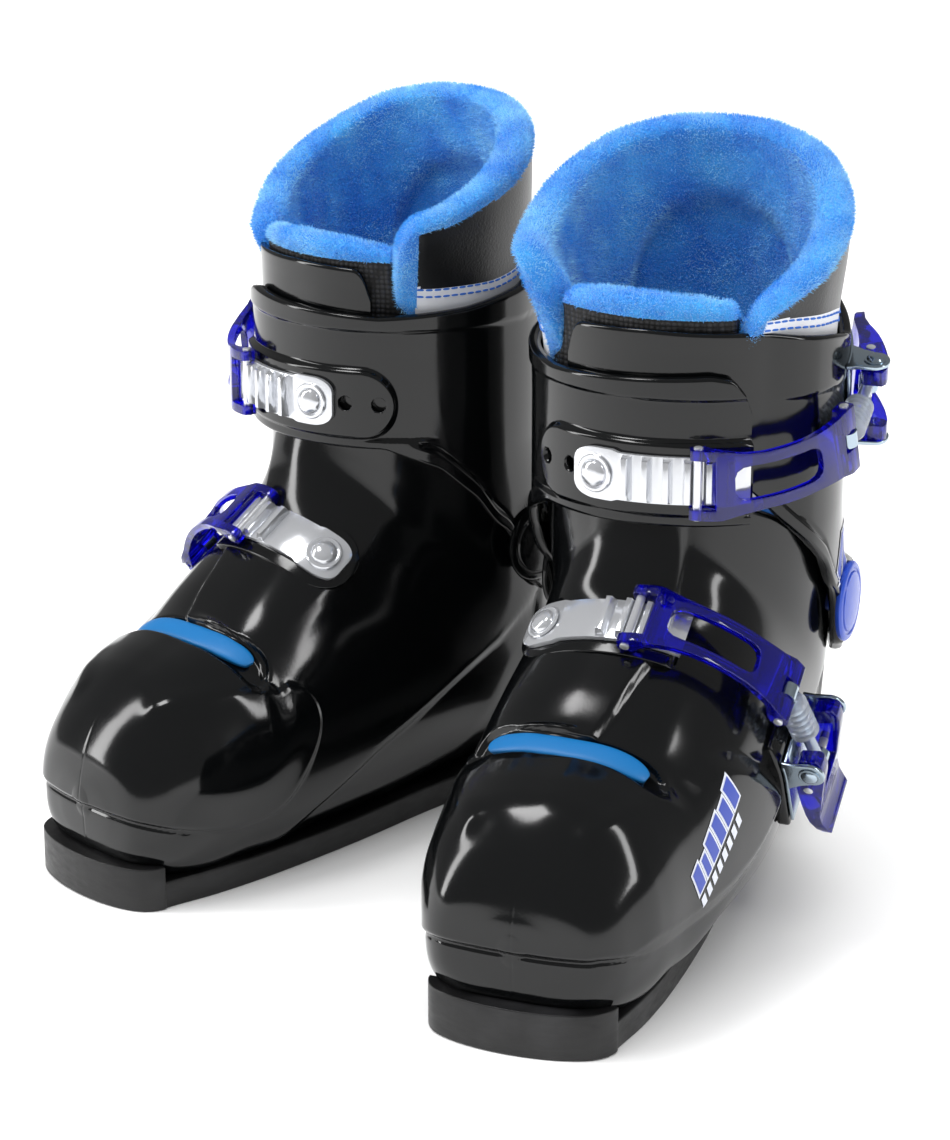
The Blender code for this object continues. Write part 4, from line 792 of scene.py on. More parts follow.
def build_ladder(kind, place):
    """The toothed ladder: a rounded head round the rivet, a plate and its teeth."""
    wrap = Wrap(place, False)
    low, top = LADDER_LOW, LADDER_LOW + LADDER_PLATE
    scale = wrap.surface + LADDER_LOW + LADDER_PLATE
    rivet = math.radians(place["rivet"])
    stations = []
    for turn in np.linspace(0.06, 1, 9) * math.pi / 2:
        half = 3.2 + 6.1 * math.sin(turn) ** 0.8
        stations.append((rivet - LADDER_HEAD * math.cos(turn) / scale, low, top, half))
    stations.append((rivet + 6.5 / scale, low, top, LADDER_HEAD))
    stations.append((rivet + 9.0 / scale, low, top, LADDER_HALF))
    faces = [wrap.hook + (2.2 + tooth * TOOTH_PITCH) / scale for tooth in range(-place["teeth"], 2)]
    stations.append((faces[-1] + (TOOTH_LENGTH + 6.0) / scale, low, top, LADDER_HALF))
    body = place["body"]
    ladder = strip(f"{kind}_ladder", wrap, stations, chrome, body, (f"{kind}_ladder",), "chrome")
    teeth = []
    for face in faces:
        foot, tip = (top - 0.5, top, LADDER_HALF - 0.3), (top - 0.5, top + TOOTH_HEIGHT, TOOTH_HALF)
        shape = ((0.0, foot), (0.6, tip), (TOOTH_LENGTH - 1.2, tip), (TOOTH_LENGTH, foot))
        teeth.append(strip("tooth", wrap, [(face + d / scale, *row) for d, row in shape], chrome, body))
    carve(ladder, *teeth, join=True)
    round_edges(ladder, 0.45, 3, 40)
    level = top + 1.5
    profile = [(0, 2.3)] + [(level + rise, radius) for rise, radius in RIVET_HEAD]
    turned(f"{kind}_ladder_rivet", wrap.point(-1.5, rivet), wrap.point(12.0, rivet), profile, chrome, body,
           (f"{kind}_ladder_rivet",), 48, "chrome")


def build_bail(kind, place):
    """The forked bail with its window, and the pins at its two ends."""
    wrap = Wrap(place, True)
    scale = wrap.surface + BAIL_PIN_RISE
    half, waist, ear, reach = BAIL_HALF, BAIL_WAIST, BAIL_EAR, BAIL_REACH
    hook_low, hook_high = HOOK_RISE - ear, HOOK_RISE + ear
    rear_low, rear_high = BAIL_PIN_RISE - ear, BAIL_PIN_RISE + ear
    low, high = WEB_LOW, WEB_HIGH
    shape = (
        (-ear, hook_low + 0.8, hook_high - 0.8, half), (-ear + 1.2, hook_low, hook_high, half),
        (ear, hook_low, high, half), (5.5, low - 1.4, high + 0.3, half), (8.0, low, high + 0.3, half),
        (12.0, low, high, half - 0.9), (17.0, low, high, waist + 0.5), (24.0, low, high, waist),
        (44.0, low, high, waist), (50.0, low, high, waist + 0.4),
        (reach - ear - 5.0, low, high, waist + 1.0), (reach - ear, rear_low, rear_high, half),
        (reach + ear - 1.0, rear_low, rear_high, half),
        (reach + ear, rear_low + 1.0, rear_high - 1.0, half),
    )
    body = f"{kind}_bail_body"
    stations = [(wrap.hook + d / scale, *row) for d, *row in shape]
    bail = strip(f"{kind}_bail", wrap, stations, cobalt, body, (f"{kind}_bail",), "lever")
    forks = ((-6.0, 6.0, 9.0), (reach - 5.1, reach + 8.0, 3.6))
    cutters = [slab(wrap, wrap.hook + start / scale, wrap.hook + end / scale, -4.0, 18.0, width)
               for start, end, width in forks]
    window = [(wrap.hook + d / scale, -4.0, 18.0, width) for d, width in BAIL_WINDOW]
    cutters.append(strip("helper", wrap, window, chrome, "shell"))
    carve(bail, *cutters)
    round_edges(bail, 0.9, 3, 40)
    for pin, angle, rise in (("hook", wrap.hook, HOOK_RISE), ("bail", wrap.bail, BAIL_PIN_RISE)):
        rod(wrap, f"{kind}_{pin}_pin", rise, angle, half + 0.9, PIN_RADIUS, chrome, body,
            (f"{kind}_{pin}_pin",), "chrome")


def build_adjuster(kind, place):
    """The ribbed adjuster, the eyes at its ends and the screw through it."""
    wrap = Wrap(place, True)
    start, end = wrap.point(BAIL_PIN_RISE, wrap.bail), wrap.point(CRANK_PIN_RISE, wrap.crank)
    length = (end - start).length
    body = f"{kind}_adjuster_body"
    profile = [(1.0, 2.3), (4.6, 2.3), (5.0, 4.2)]
    for rib in range(RIBS):
        near = FIRST_RIB + rib * RIB_PITCH
        profile += [(near + RIB_PITCH * share, radius) for share, radius in RIB_PROFILE]
    profile += [(FIRST_RIB + RIBS * RIB_PITCH + 0.6, 2.3), (length - 1.0, 2.3)]
    turned(f"{kind}_adjuster", start, end, profile, clear, body, (f"{kind}_adjuster",), 40, "clear")
    for label, angle, rise in (("front", wrap.bail, BAIL_PIN_RISE), ("rear", wrap.crank, CRANK_PIN_RISE)):
        rod(wrap, f"{kind}_eye_{label}", rise, angle, 3.1, 3.6, zinc, body)
    turned(f"{kind}_screw", start, end, ((2.0, 1.9), (length - 2.0, 1.9)), zinc, body)


def build_lever(kind, place):
    """The lever, slotted where the adjuster passes, and the adjuster's pin."""
    wrap = Wrap(place, True)
    scale = wrap.surface + PIVOT_RISE
    stations = [(wrap.pivot + d / scale, *row) for d, *row in LEVER_SHAPE]
    body = f"{kind}_lever_body"
    lever = strip(f"{kind}_lever", wrap, stations, cobalt, body, (f"{kind}_lever",), "lever")
    carve(lever, slab(wrap, wrap.pivot - 9.0 / scale, wrap.pivot + 19.0 / scale, -1.0, 22.0, 8.5))
    round_edges(lever, 1.1, 3, 40)
    rod(wrap, f"{kind}_adjuster_pin", CRANK_PIN_RISE, wrap.crank, LEVER_HALF + 0.5, PIN_RADIUS, chrome,
        body, (f"{kind}_adjuster_pin",), "chrome")


def build_bracket(kind, place):
    """The lever's bracket: a plate, two ears and the stubs that the lever turns on."""
    wrap = Wrap(place, True)
    scale = wrap.surface + PIVOT_RISE
    inner, thick, low = LEVER_HALF + 0.4, 1.6, 0.4
    outer = inner + thick
    body = place["body"]
    stations = [(wrap.pivot + d / scale, low, low + 1.3, outer + 0.1) for d in (-4.0, 30.0)]
    plate = strip(f"{kind}_base", wrap, stations, zinc, body, (f"{kind}_base",), "zinc")
    round_edges(plate, 0.35, 2, 40)
    outline = [(-6.5, low + 0.4), (-5.4, 5.0)]
    for turn in np.linspace(math.pi * 0.94, 0, 14):
        outline.append((5.4 * math.cos(turn), PIVOT_RISE + 5.4 * math.sin(turn)))
    outline += [(7.0, 6.0), (10.5, low + 0.4)]
    ear_faces = grid_faces(2, len(outline), wrap_columns=True, caps=True)
    reach = outer - STUB_FROM
    profile = [(0, 2.1), (reach, 2.1)] + [(reach + rise, radius) for rise, radius in STUB_HEAD]
    for side, label in ((-1, "near"), (1, "far")):
        rings = [[wrap.point(rise, wrap.pivot + d / scale, along) for d, rise in outline]
                 for along in (side * inner, side * outer)]
        ear = make_piece(f"{kind}_ear_{label}", np.array(rings), ear_faces, zinc, body)
        round_edges(ear, 0.4, 2, 40)
        start = wrap.point(PIVOT_RISE, wrap.pivot, side * STUB_FROM)
        end = wrap.point(PIVOT_RISE, wrap.pivot, side * 19)
        turned(f"{kind}_stub_{label}", start, end, profile, zinc, body)


for kind, place in BUCKLES.items():
    build_ladder(kind, place)
    build_bail(kind, place)
    build_adjuster(kind, place)
    build_lever(kind, place)
    build_bracket(kind, place)
print("buckles done,", len(PIECES), "pieces so far")

# %% [markdown]
# The pads that carry the instep buckle stand up from the clog, and the cuff has two spare holes for
# the ladder's rivet. A blue cap covers the outer ankle rivet, and a black one covers the inner.

# %% Pads, holes and ankle caps
PAD_HALF_WIDTH, PAD_TOP, PAD_ROOT = 12.8, 2.2, -5.0
HOLE_PITCH, HOLE_RADIUS = 12.8, 2.9
PIVOT_CAP = (
    (0.0, 4.5), (12.0, 4.5), (12.1, 14.6), (12.6, 15.0), (13.6, 15.0), (14.3, 14.3), (14.5, 12.6),
    (14.1, 12.2), (14.1, 11.4), (14.7, 11.0), (15.3, 8.0), (15.6, 4.0), (15.7, 0.5),
)
instep = Wrap(BUCKLES["instep"], False)
pad_low, pad_high = math.radians(-43.0) * instep.surface, math.radians(20.0) * instep.surface
pad_shape = [((pad_low + 13.2 * (1 - math.cos(turn))) / instep.surface, PAD_ROOT, PAD_TOP,
              0.6 + PAD_HALF_WIDTH * math.sin(turn)) for turn in np.linspace(0.05, 1, 9) * math.pi / 2]
pad_shape.append((pad_high / instep.surface, PAD_ROOT, PAD_TOP, 13.4))
pad_shape.append(((pad_high + 3) / instep.surface, PAD_ROOT, -1.0, 12.0))
strap_pad = strip("strap_pad", instep, pad_shape, pu, "shell")
round_edges(strap_pad, 0.6, 3, 50)
panel_scale = instep.surface + PIVOT_RISE
panel_shape = [(instep.pivot + d / panel_scale, PAD_ROOT, top, half)
               for d, top, half in ((-14.0, -1.5, 14.0), (-6.0, 0.0, 17.0), (34.0, 0.0, 17.0))]
panel = strip("buckle_panel", instep, panel_shape, pu, "shell")
round_edges(panel, 1.2, 3, 50)
cuff_wrap = Wrap(BUCKLES["cuff"], False)
holes = []
for hole in (1, 2):
    angle = math.radians(BUCKLES["cuff"]["rivet"]) - hole * HOLE_PITCH / CUFF_RADIUS
    holes.append(turned("helper", cuff_wrap.point(-1.8, angle), cuff_wrap.point(12.0, angle),
                        ((0, HOLE_RADIUS), (13.8, HOLE_RADIUS)), pu, "cuff_body"))
carve(cuff, *holes)
for label, (face, sign) in zip(("lateral", "medial"), BOSSES):
    start = Vector((PIVOT[0], face - 12 * sign, PIVOT[1]))
    end = Vector((PIVOT[0], face + 12 * sign, PIVOT[1]))
    turned(f"cuff_pivot_{label}", start, end, PIVOT_CAP, cap_plastic if sign > 0 else pu, "shell",
           (f"cuff_pivot_{label}",), 64, "cap")

# %% [markdown]
# ## The liner
# The collar is a thick padded band. Its section is a loop: up the outer cover, over a rolled top, and
# down the fleece. Toward its front edges the roll turns the corner and runs down them. Cloth under
# pressure puffs it up; its cover and its foot are pinned, so it stays where the cuff holds it.

# %% Build the collar and the tongue
WHITE_TOP = (
    (39, 227), (60, 226), (90, 223), (104, 220), (130, 228), (180, 243), (230, 227), (256, 219),
    (270, 217), (300, 217), (321, 219),
)
LEG_AXIS = (-42.0, LEG_SIDE)
ROLL, COLLAR_THICK, TONGUE_THICK, HOLLOW = 6.8, 12.5, 10.0, 4.6
ROWS_OUT, ROWS_ROLL, ROWS_IN, COVER_SHARE = 16, 9, 34, 0.6
COLLAR_COLUMNS, COLLAR_FROM, COLLAR_TO = 110, 37.0, 314.0
TONGUE_FROM, TONGUE_TO, TONGUE_COLUMNS, TONGUE_TOP, TONGUE_FOOT = -60.0, 50.0, 56, 234.5, 182.0
TONGUE_TUCK = 11.5


def liner_inset(degrees):
    """How far the cover lies inside the cuff's outline. It lies deeper where the cuff overlaps."""
    turn = (degrees + 180.0) % 360.0 - 180.0
    right = 1 - smoothstep(52, 76, turn)
    left = smoothstep(-56, -40, turn)
    return 4.7 + 3.0 * np.where(turn > 0, right, left)


def liner_floor(forward):
    """Height of the sloping joint between the foot of the liner and its upper part."""
    return 111.0 + (forward + 94.3) * 0.56


def collar_wall(degrees, tops, covers, thick, flare):
    """Sections of a padded wall: cover up the outside, rolled top, fleece down the inside."""
    column = degrees[:, None]
    lean_out = flare[:, None]
    floor_at = leg_grid(column, 140 + 0 * column, 8 + 0 * column)[..., 0]
    low = liner_floor(floor_at)
    top, cover = tops[:, None], covers[:, None]
    share = np.linspace(0, 1, ROWS_OUT)[None, :]
    heights = np.where(share < COVER_SHARE, low + (cover - low) * share / COVER_SHARE,
                       cover + (top - ROLL * 0.8 - cover) * (share - COVER_SHARE) / (1 - COVER_SHARE))
    inset = liner_inset(column)
    out = leg_grid(column + 0 * heights, heights, inset - lean_out * smoothstep(cover - 14, top, heights))
    centre_inset = inset - lean_out + thick / 2
    roll_turns = np.linspace(0.12, 0.88, ROWS_ROLL)[None, :] * math.pi
    roll_heights = top - ROLL * 0.8 + np.sin(roll_turns) * ROLL
    roll = leg_grid(column + 0 * roll_turns, roll_heights,
                    centre_inset - np.cos(roll_turns) * thick * 0.58)
    heights_in = top - ROLL * 0.8 + (low - top + ROLL * 0.8) * np.linspace(0, 1, ROWS_IN)[None, :]
    arch = 1 - np.abs((column - 180) / 56) ** 2.6 - np.abs((heights_in - 150) / 102) ** 2.6
    hollow = HOLLOW * smoothstep(-0.03, 0.08, arch)
    lean_in = lean_out * smoothstep(low + 60, top, heights_in)
    inner = leg_grid(column + 0 * heights_in, heights_in, inset - lean_in + thick - hollow)
    return np.concatenate([out, roll, inner], axis=1)


def soft_mesh(name, grid, materials):
    """A closed padded wall. Its end columns shrink step by step into a rounded edge."""
    columns, rows = grid.shape[:2]
    for index, keep in enumerate((0.35, 0.68, 0.86, 0.96)):
        for column in (index, columns - 1 - index):
            heart = (grid[column] + grid[column][::-1]) / 2
            grid[column] = heart + (grid[column] - heart) * keep
    faces = grid_faces(columns, rows, wrap_columns=True, caps=True)
    piece = make_piece(name, grid, faces, materials[0], "cuff_body", (), 180)
    for extra in materials[1:]:
        piece.data.materials.append(extra)
    return piece


collar_turns = np.linspace(COLLAR_FROM, COLLAR_TO, COLLAR_COLUMNS)
flare = 4.0 + 9.0 * np.exp(-((collar_turns - 316) / 26) ** 2)
flare += 3.0 * np.exp(-((collar_turns - 44) / 22) ** 2)
collar_grid = collar_wall(collar_turns, edge_height(COLLAR_TOP, collar_turns, 4.0),
                          edge_height(WHITE_TOP, collar_turns, 3.0), COLLAR_THICK, flare)
collar = soft_mesh("liner_collar", collar_grid, (fleece, white_leather, black_leather))

tongue_turns = np.linspace(TONGUE_FROM, TONGUE_TO, TONGUE_COLUMNS)
tongue_tops = TONGUE_TOP - 0.0024 * tongue_turns ** 2
behind = TONGUE_TUCK * (smoothstep(34, 43, tongue_turns) + smoothstep(-43, -53, tongue_turns))
tongue_grid = collar_wall(tongue_turns, tongue_tops, tongue_tops - 9.0, TONGUE_THICK, 1.0 - behind)
tongue_up = tongue_grid[..., 2]
tongue_grid[..., 2] = np.maximum(tongue_up, TONGUE_FOOT + 0.15 * (tongue_up - TONGUE_FOOT))
tongue = soft_mesh("liner_tongue", tongue_grid, (fleece, black_mesh))


def local(points):
    """World metres back to forward, side, up in millimetres."""
    return np.stack([-points[:, 1], points[:, 0], points[:, 2]], axis=1) / MM


def coordinates(piece):
    """World positions of a piece's points, one row each."""
    flat = np.empty(len(piece.data.vertices) * 3)
    piece.data.vertices.foreach_get("co", flat)
    return flat.reshape(-1, 3)


def polar(points):
    """Angle from the front in degrees, height, and distance from the leg's axis."""
    forward, side = points[:, 0] - LEG_AXIS[0], points[:, 1] - LEG_AXIS[1]
    return np.degrees(np.arctan2(side, forward)) % 360.0, points[:, 2], np.hypot(side, forward)


CLOTH_FRAMES = 14


def puff(piece, pinned, pressure, most):
    """Swell a padded piece as cloth, holding some points, and limit how far the rest may move."""
    start = coordinates(piece)
    group = piece.vertex_groups.new(name="held")
    for index, weight in enumerate(pinned):
        group.add([index], float(weight), "REPLACE")
    cloth = piece.modifiers.new("cloth", "CLOTH")
    cloth.settings.use_pressure = True
    cloth.settings.uniform_pressure_force = pressure
    cloth.settings.vertex_group_mass = "held"
    cloth.settings.effector_weights.gravity = 0.0
    cloth.settings.tension_stiffness = 12.0
    cloth.settings.compression_stiffness = 12.0
    cloth.settings.bending_stiffness = 0.4
    cloth.point_cache.frame_start = 1
    cloth.point_cache.frame_end = CLOTH_FRAMES
    for number in range(1, CLOTH_FRAMES + 1):
        bpy.context.scene.frame_set(number)
    graph = bpy.context.evaluated_depsgraph_get()
    shaped = piece.evaluated_get(graph).to_mesh()
    moved = np.empty(len(shaped.vertices) * 3)
    shaped.vertices.foreach_get("co", moved)
    moved = moved.reshape(-1, 3)
    piece.modifiers.clear()
    piece.vertex_groups.clear()
    bpy.context.scene.frame_set(1)
    shift = moved - start
    length = np.linalg.norm(shift, axis=1, keepdims=True)
    shift *= np.minimum(1.0, most * MM / np.maximum(length, 1e-9))
    piece.data.vertices.foreach_set("co", (start + shift).ravel())
    piece.data.update()
    return float(length.max() / MM)


def paint_faces(piece, rule):
    """Give each face the material number that a rule makes from its middle."""
    count = len(piece.data.polygons)
    centres = np.empty(count * 3)
    piece.data.polygons.foreach_get("center", centres)
    normals = np.empty(count * 3)
    piece.data.polygons.foreach_get("normal", normals)
    chosen = rule(local(centres.reshape(-1, 3)), local(normals.reshape(-1, 3)) * MM)
    piece.data.polygons.foreach_set("material_index", chosen.astype(np.int32))
    piece.data.update()


def faces_out(points, normals):
    """Whether each face looks away from the leg's axis."""
    reach = points[:, :2] - np.array(LEG_AXIS)
    reach /= np.linalg.norm(reach, axis=1, keepdims=True)
    return (reach * normals[:, :2]).sum(axis=1) > 0.25


def collar_rule(points, normals):
    """Fleece 0, white band 1, black cover 2."""
    angle, height, _ = polar(points)
    cover = edge_height(WHITE_TOP, angle, 3.0)
    top = edge_height(COLLAR_TOP, angle, 4.0)
    border = np.minimum(angle - COLLAR_FROM, COLLAR_TO - angle) > 8.5
    covered = faces_out(points, normals) & border & (height < top - 5.0)
    return np.where(covered, np.where(height < cover, 1, 2), 0)


def tongue_rule(points, normals):
    """Fleece 0, black mesh 1."""
    return np.where(faces_out(points, normals) & (points[:, 2] < 226.5), 1, 0)


for piece, most in ((collar, 3.0), (tongue, 2.5)):
    _, height, radius = polar(local(coordinates(piece)))
    swell = puff(piece, (height < 205) | (radius > 48), 3.0, most)
    print(piece.name, "puffed by up to", round(swell, 1), "mm")
for piece, rule in ((collar, collar_rule), (tongue, tongue_rule)):
    step = piece.modifiers.new("smooth", "SUBSURF")
    step.levels = step.render_levels = 2
    apply_modifiers(piece)
    paint_faces(piece, rule)
    piece.data.shade_smooth()
for entry in PIECES:
    if entry["object"] == collar:
        entry.update(replaces=["liner_collar"], slot="fleece", fill=0.7)
    if entry["object"] == tongue:
        entry.update(replaces=["liner_tongue"], slot="tongue", fill=0.6)
print("collar:", len(collar.data.polygons), "faces, tongue:", len(tongue.data.polygons), "faces")

# %% [markdown]
# Fleece fibres are grown with Geometry Nodes: points scattered over the fleece faces, each with one
# small blade, tilted and turned at random from a fixed seed.

# %% Grow the fleece
FIBRES_FROM, FIBRE_DENSITY, BLADE_LENGTH, BLADE_WIDTH = 190.0, 3.4e6, 0.0015, 0.0003


def blade_mesh(name, length, width):
    """One blade: a thin triangle standing on the origin."""
    data = bpy.data.meshes.new(name)
    data.from_pydata([(-width / 2, 0, 0), (width / 2, 0, 0), (0, 0, length)], [], [(0, 1, 2)])
    made = bpy.data.objects.new(name, data)
    link(made)
    made.hide_render = True
    return made


def new_tree(name, sockets):
    """An empty Geometry Nodes tree with named sockets, and the outputs that hold what it is given."""
    tree = bpy.data.node_groups.new(name, "GeometryNodeTree")
    face = tree.interface
    for label, kind in {"Geometry": "Geometry", **sockets}.items():
        face.new_socket(label, in_out="INPUT", socket_type="NodeSocket" + kind)
    face.new_socket("Geometry", in_out="OUTPUT", socket_type="NodeSocketGeometry")
    return tree, add_node(tree, "NodeGroupInput").outputs


def place_copies(tree, given, points, thing, **turned_by):
    """End a tree: put an object on every point, make the copies real and give them a finish."""
    info = add_node(tree, "GeometryNodeObjectInfo", None, {"Object": given[thing]})
    placed = add_node(tree, "GeometryNodeInstanceOnPoints", None,
                      {"Points": points, "Instance": info.outputs["Geometry"], **turned_by})
    real = add_node(tree, "GeometryNodeRealizeInstances", None, {"Geometry": placed.outputs[0]})
    paint = add_node(tree, "GeometryNodeSetMaterial", None,
                     {"Geometry": real.outputs[0], "Material": given["Finish"]})
    add_node(tree, "NodeGroupOutput", None, {"Geometry": paint.outputs[0]})


def random_between(tree, low, high):
    node = add_node(tree, "FunctionNodeRandomValue", None, None, data_type="FLOAT")
    node.inputs[2].default_value = low
    node.inputs[3].default_value = high
    return node.outputs[1]


def fleece_tree():
    """Scatter blades, each leaning by chance and toward the comb, and turned about its own length."""
    tree, given = new_tree("grow_fleece", {
        "Density": "Float", "Blade": "Object", "Tilt": "Float", "Seed": "Int", "Finish": "Material",
        "Comb": "Vector"})
    scatter = add_node(tree, "GeometryNodeDistributePointsOnFaces", None,
                       {"Mesh": given["Geometry"], "Density": given["Density"], "Seed": given["Seed"]})
    lean = add_node(tree, "FunctionNodeRandomValue", None, {"Seed": given["Seed"]}, data_type="FLOAT_VECTOR")
    lean.inputs["Min"].default_value = (-1, -1, -1)
    lean.inputs["Max"].default_value = (1, 1, 1)
    scaled = add_node(tree, "ShaderNodeVectorMath", None, {0: lean.outputs[0], 3: given["Tilt"]},
                      operation="SCALE")
    combed = add_node(tree, "ShaderNodeVectorMath", None, {0: scaled.outputs[0], 1: given["Comb"]})
    aimed = add_node(tree, "ShaderNodeVectorMath", None,
                     {0: combed.outputs[0], 1: scatter.outputs["Normal"]})
    turn = add_node(tree, "FunctionNodeAlignRotationToVector", None, {"Vector": aimed.outputs[0]}, axis="Z")
    axis = add_node(tree, "FunctionNodeAxisAngleToRotation", {"Axis": (0, 0, 1)},
                    {"Angle": random_between(tree, 0.0, 6.283)})
    both = add_node(tree, "FunctionNodeRotateRotation", None,
                    {"Rotation": turn.outputs[0], "Rotate By": axis.outputs[0]}, rotation_space="LOCAL")
    place_copies(tree, given, scatter.outputs["Points"], "Blade", Rotation=both.outputs[0],
                 Scale=random_between(tree, 0.6, 1.25))
    return tree


def use_tree(piece, tree, **values):
    """Run a tree on a piece, with its inputs given by name."""
    step = piece.modifiers.new("tree", "NODES")
    step.node_group = tree
    names = {item.name: item.identifier for item in tree.interface.items_tree if item.in_out == "INPUT"}
    for key, value in values.items():
        step[names[key]] = value
    apply_modifiers(piece)


def fleece_faces(piece, name):
    """A copy of only a piece's fleece faces, to grow fibres on."""
    copy = piece.copy()
    copy.data = piece.data.copy()
    copy.name = "left_" + name
    copy.data.name = copy.name
    link(copy)
    shape = bmesh.new()
    shape.from_mesh(copy.data)
    low = FIBRES_FROM * MM
    gone = [f for f in shape.faces if f.material_index != 0 or f.calc_center_median().z < low]
    bmesh.ops.delete(shape, geom=gone, context="FACES")
    shape.to_mesh(copy.data)
    shape.free()
    return copy


growth = fleece_tree()
blade = blade_mesh("blade", BLADE_LENGTH, BLADE_WIDTH)
for piece, name, seed in ((collar, "collar_fleece", 3), (tongue, "tongue_fleece", 7)):
    fur = fleece_faces(piece, name)
    use_tree(fur, growth, Density=FIBRE_DENSITY, Blade=blade, Tilt=0.55, Seed=seed, Finish=fibre,
             Comb=(0.15, 0.0, 0.25))
    PIECES.append({"object": fur, "body": "cuff_body", "replaces": [], "slot": "fleece"})
    print(name, len(fur.data.polygons), "fibres")
bpy.data.objects.remove(blade, do_unlink=True)

# %% [markdown]
# Stitches are small rods set along a line on the cover. Geometry Nodes turns the line into a curve,
# spaces points along it, and puts a rod on each, turned along the line.

# %% Sew the cover
def stitch_tree():
    """Turn a line into a curve and set a rod at every pitch along it."""
    tree, given = new_tree("sew", {"Pitch": "Float", "Rod": "Object", "Finish": "Material"})
    line = add_node(tree, "GeometryNodeMeshToCurve", None, {"Mesh": given["Geometry"]})
    spaced = add_node(tree, "GeometryNodeResampleCurve", None,
                      {"Curve": line.outputs[0], "Length": given["Pitch"]}, mode="LENGTH")
    tangent = add_node(tree, "GeometryNodeInputTangent")
    turn = add_node(tree, "FunctionNodeAlignRotationToVector", None, {"Vector": tangent.outputs[0]}, axis="X")
    place_copies(tree, given, spaced.outputs[0], "Rod", Rotation=turn.outputs[0])
    return tree


def stitch_rod(length, radius):
    """A thread rod lying along X, thinner toward its ends."""
    shape = ((-1, 0.35), (-0.7, 0.9), (0, 1), (0.7, 0.9), (1, 0.35))
    rings = [(x * length / 2, radius * r) for x, r in shape]
    points = [(x, r * math.cos(a), r * math.sin(a)) for x, r in rings
              for a in np.linspace(0, 2 * math.pi, 8, endpoint=False)]
    data = bpy.data.meshes.new("stitch")
    data.from_pydata(points, [], grid_faces(5, 8, wrap_columns=True, caps=True))
    made = bpy.data.objects.new("stitch", data)
    link(made)
    return made


collar_tree = BVHTree.FromObject(collar, bpy.context.evaluated_depsgraph_get())


def cover_point(degrees, height, lift):
    """A point just outside the collar's cover, in the left boot's millimetres."""
    angle = math.radians(degrees)
    start = Vector((LEG_AXIS[0] + 120.0 * math.cos(angle), LEG_AXIS[1] + 120.0 * math.sin(angle), height))
    world_start, world_end = (Vector(point) for point in to_world([start, (*LEG_AXIS, height)]))
    way = (world_end - world_start).normalized()
    spot = collar_tree.ray_cast(world_start, way)[0] - way * lift * MM
    return (-spot.y / MM, spot.x / MM, spot.z / MM)


STITCH_PITCH, STITCH_LENGTH, STITCH_RADIUS = 0.0034, 0.0027, 0.00042
sewing = stitch_tree()
thread_rod = stitch_rod(STITCH_LENGTH, STITCH_RADIUS)
for number, drop in enumerate((1.0, 4.0)):
    line = [cover_point(d, float(edge_height(WHITE_TOP, d, 3.0)) - drop, 0.15)
            for d in np.arange(COLLAR_FROM + 10, COLLAR_TO - 9.5, 1.0)]
    data = bpy.data.meshes.new(f"left_stitch_{number}")
    data.from_pydata(to_world(line).tolist(), [(i, i + 1) for i in range(len(line) - 1)], [])
    seam = bpy.data.objects.new(f"left_stitch_{number}", data)
    link(seam)
    use_tree(seam, sewing, Pitch=STITCH_PITCH, Rod=thread_rod, Finish=thread)
    PIECES.append({"object": seam, "body": "cuff_body", "replaces": [], "slot": "fleece"})
bpy.data.objects.remove(thread_rod, do_unlink=True)

# %% [markdown]
# The printed marks are plain slanted bars, laid on the surface by casting rays. A white bar lies under
# each blue one and shows as its border.

# %% Print the marks
SLANT, BORDER_LIFT = 0.28, 0.22


def print_bars(name, tree, origin, along, across, ray, bars, grow, lift, material, body):
    """Slanted bars (start, length, foot, height) on a surface, as one mesh."""
    origin, along, across, ray = (Vector(v) for v in (origin, along, across, ray))
    points, faces = [], []
    count_a, count_b = 6, 12
    for start, length, foot, height in bars:
        first = len(points)
        for a in np.linspace(start - grow, start + length + grow, count_a):
            for b in np.linspace(foot - grow, foot + height + grow, count_b):
                spot = origin + along * (a + SLANT * b) + across * b
                hit = tree.ray_cast(spot - ray * 40, ray)[0]
                points.append((hit if hit else spot) - ray * lift)
        faces += [tuple(first + i for i in face) for face in grid_faces(count_a, count_b)]
    return make_piece(name, points, faces, material, body)


TOE_BARS = (
    (0, 5, 0, 9), (7, 3.4, 0, 7.5), (12.4, 5, 0, 9), (19.4, 5, 0, 9), (26.4, 5, 0, 8), (33.4, 5.4, 0, 9),
)
SMALL_BARS = tuple((4.5 * i, 3.0, -6.6, 4.2) for i in range(8))
CUFF_BARS = ((0, 6, 0, 17), (9, 4.5, 0, 17))
badge = ((72.5, 48, 43.5), (-0.72, 0.12, 0.68), (0.66, 0.0, 0.75), (0.0, -1.0, 0.0))
print_bars("badge_border", clog_tree, *badge, TOE_BARS, 0.9, BORDER_LIFT, print_white, "shell")
print_bars("badge_bars", clog_tree, *badge, TOE_BARS, 0.0, 0.36, print_blue, "shell")
print_bars("badge_small", clog_tree, *badge, SMALL_BARS, 0.0, BORDER_LIFT, print_white, "shell")
cuff_tree = tree_of(skin_out, wrap_columns=False)
cuff_spot = ((-46.0, 60, 120), (-1.0, 0.0, 0.12), (0.0, 0.0, 1.0), (0.0, -1.0, 0.0))
print_bars("cuff_mark_border", cuff_tree, *cuff_spot, CUFF_BARS, 1.1, 0.25, print_white, "cuff_body")
print_bars("cuff_mark", cuff_tree, *cuff_spot, CUFF_BARS, 0.0, 0.4, print_blue, "cuff_body")
print("marks printed,", len(PIECES), "pieces in all on the left boot")

# %% [markdown]
# ## The right boot
# Every piece is mirrored for the right boot, turned and moved to where that boot stands. Mirroring
# turns faces inside out, so they are flipped back.

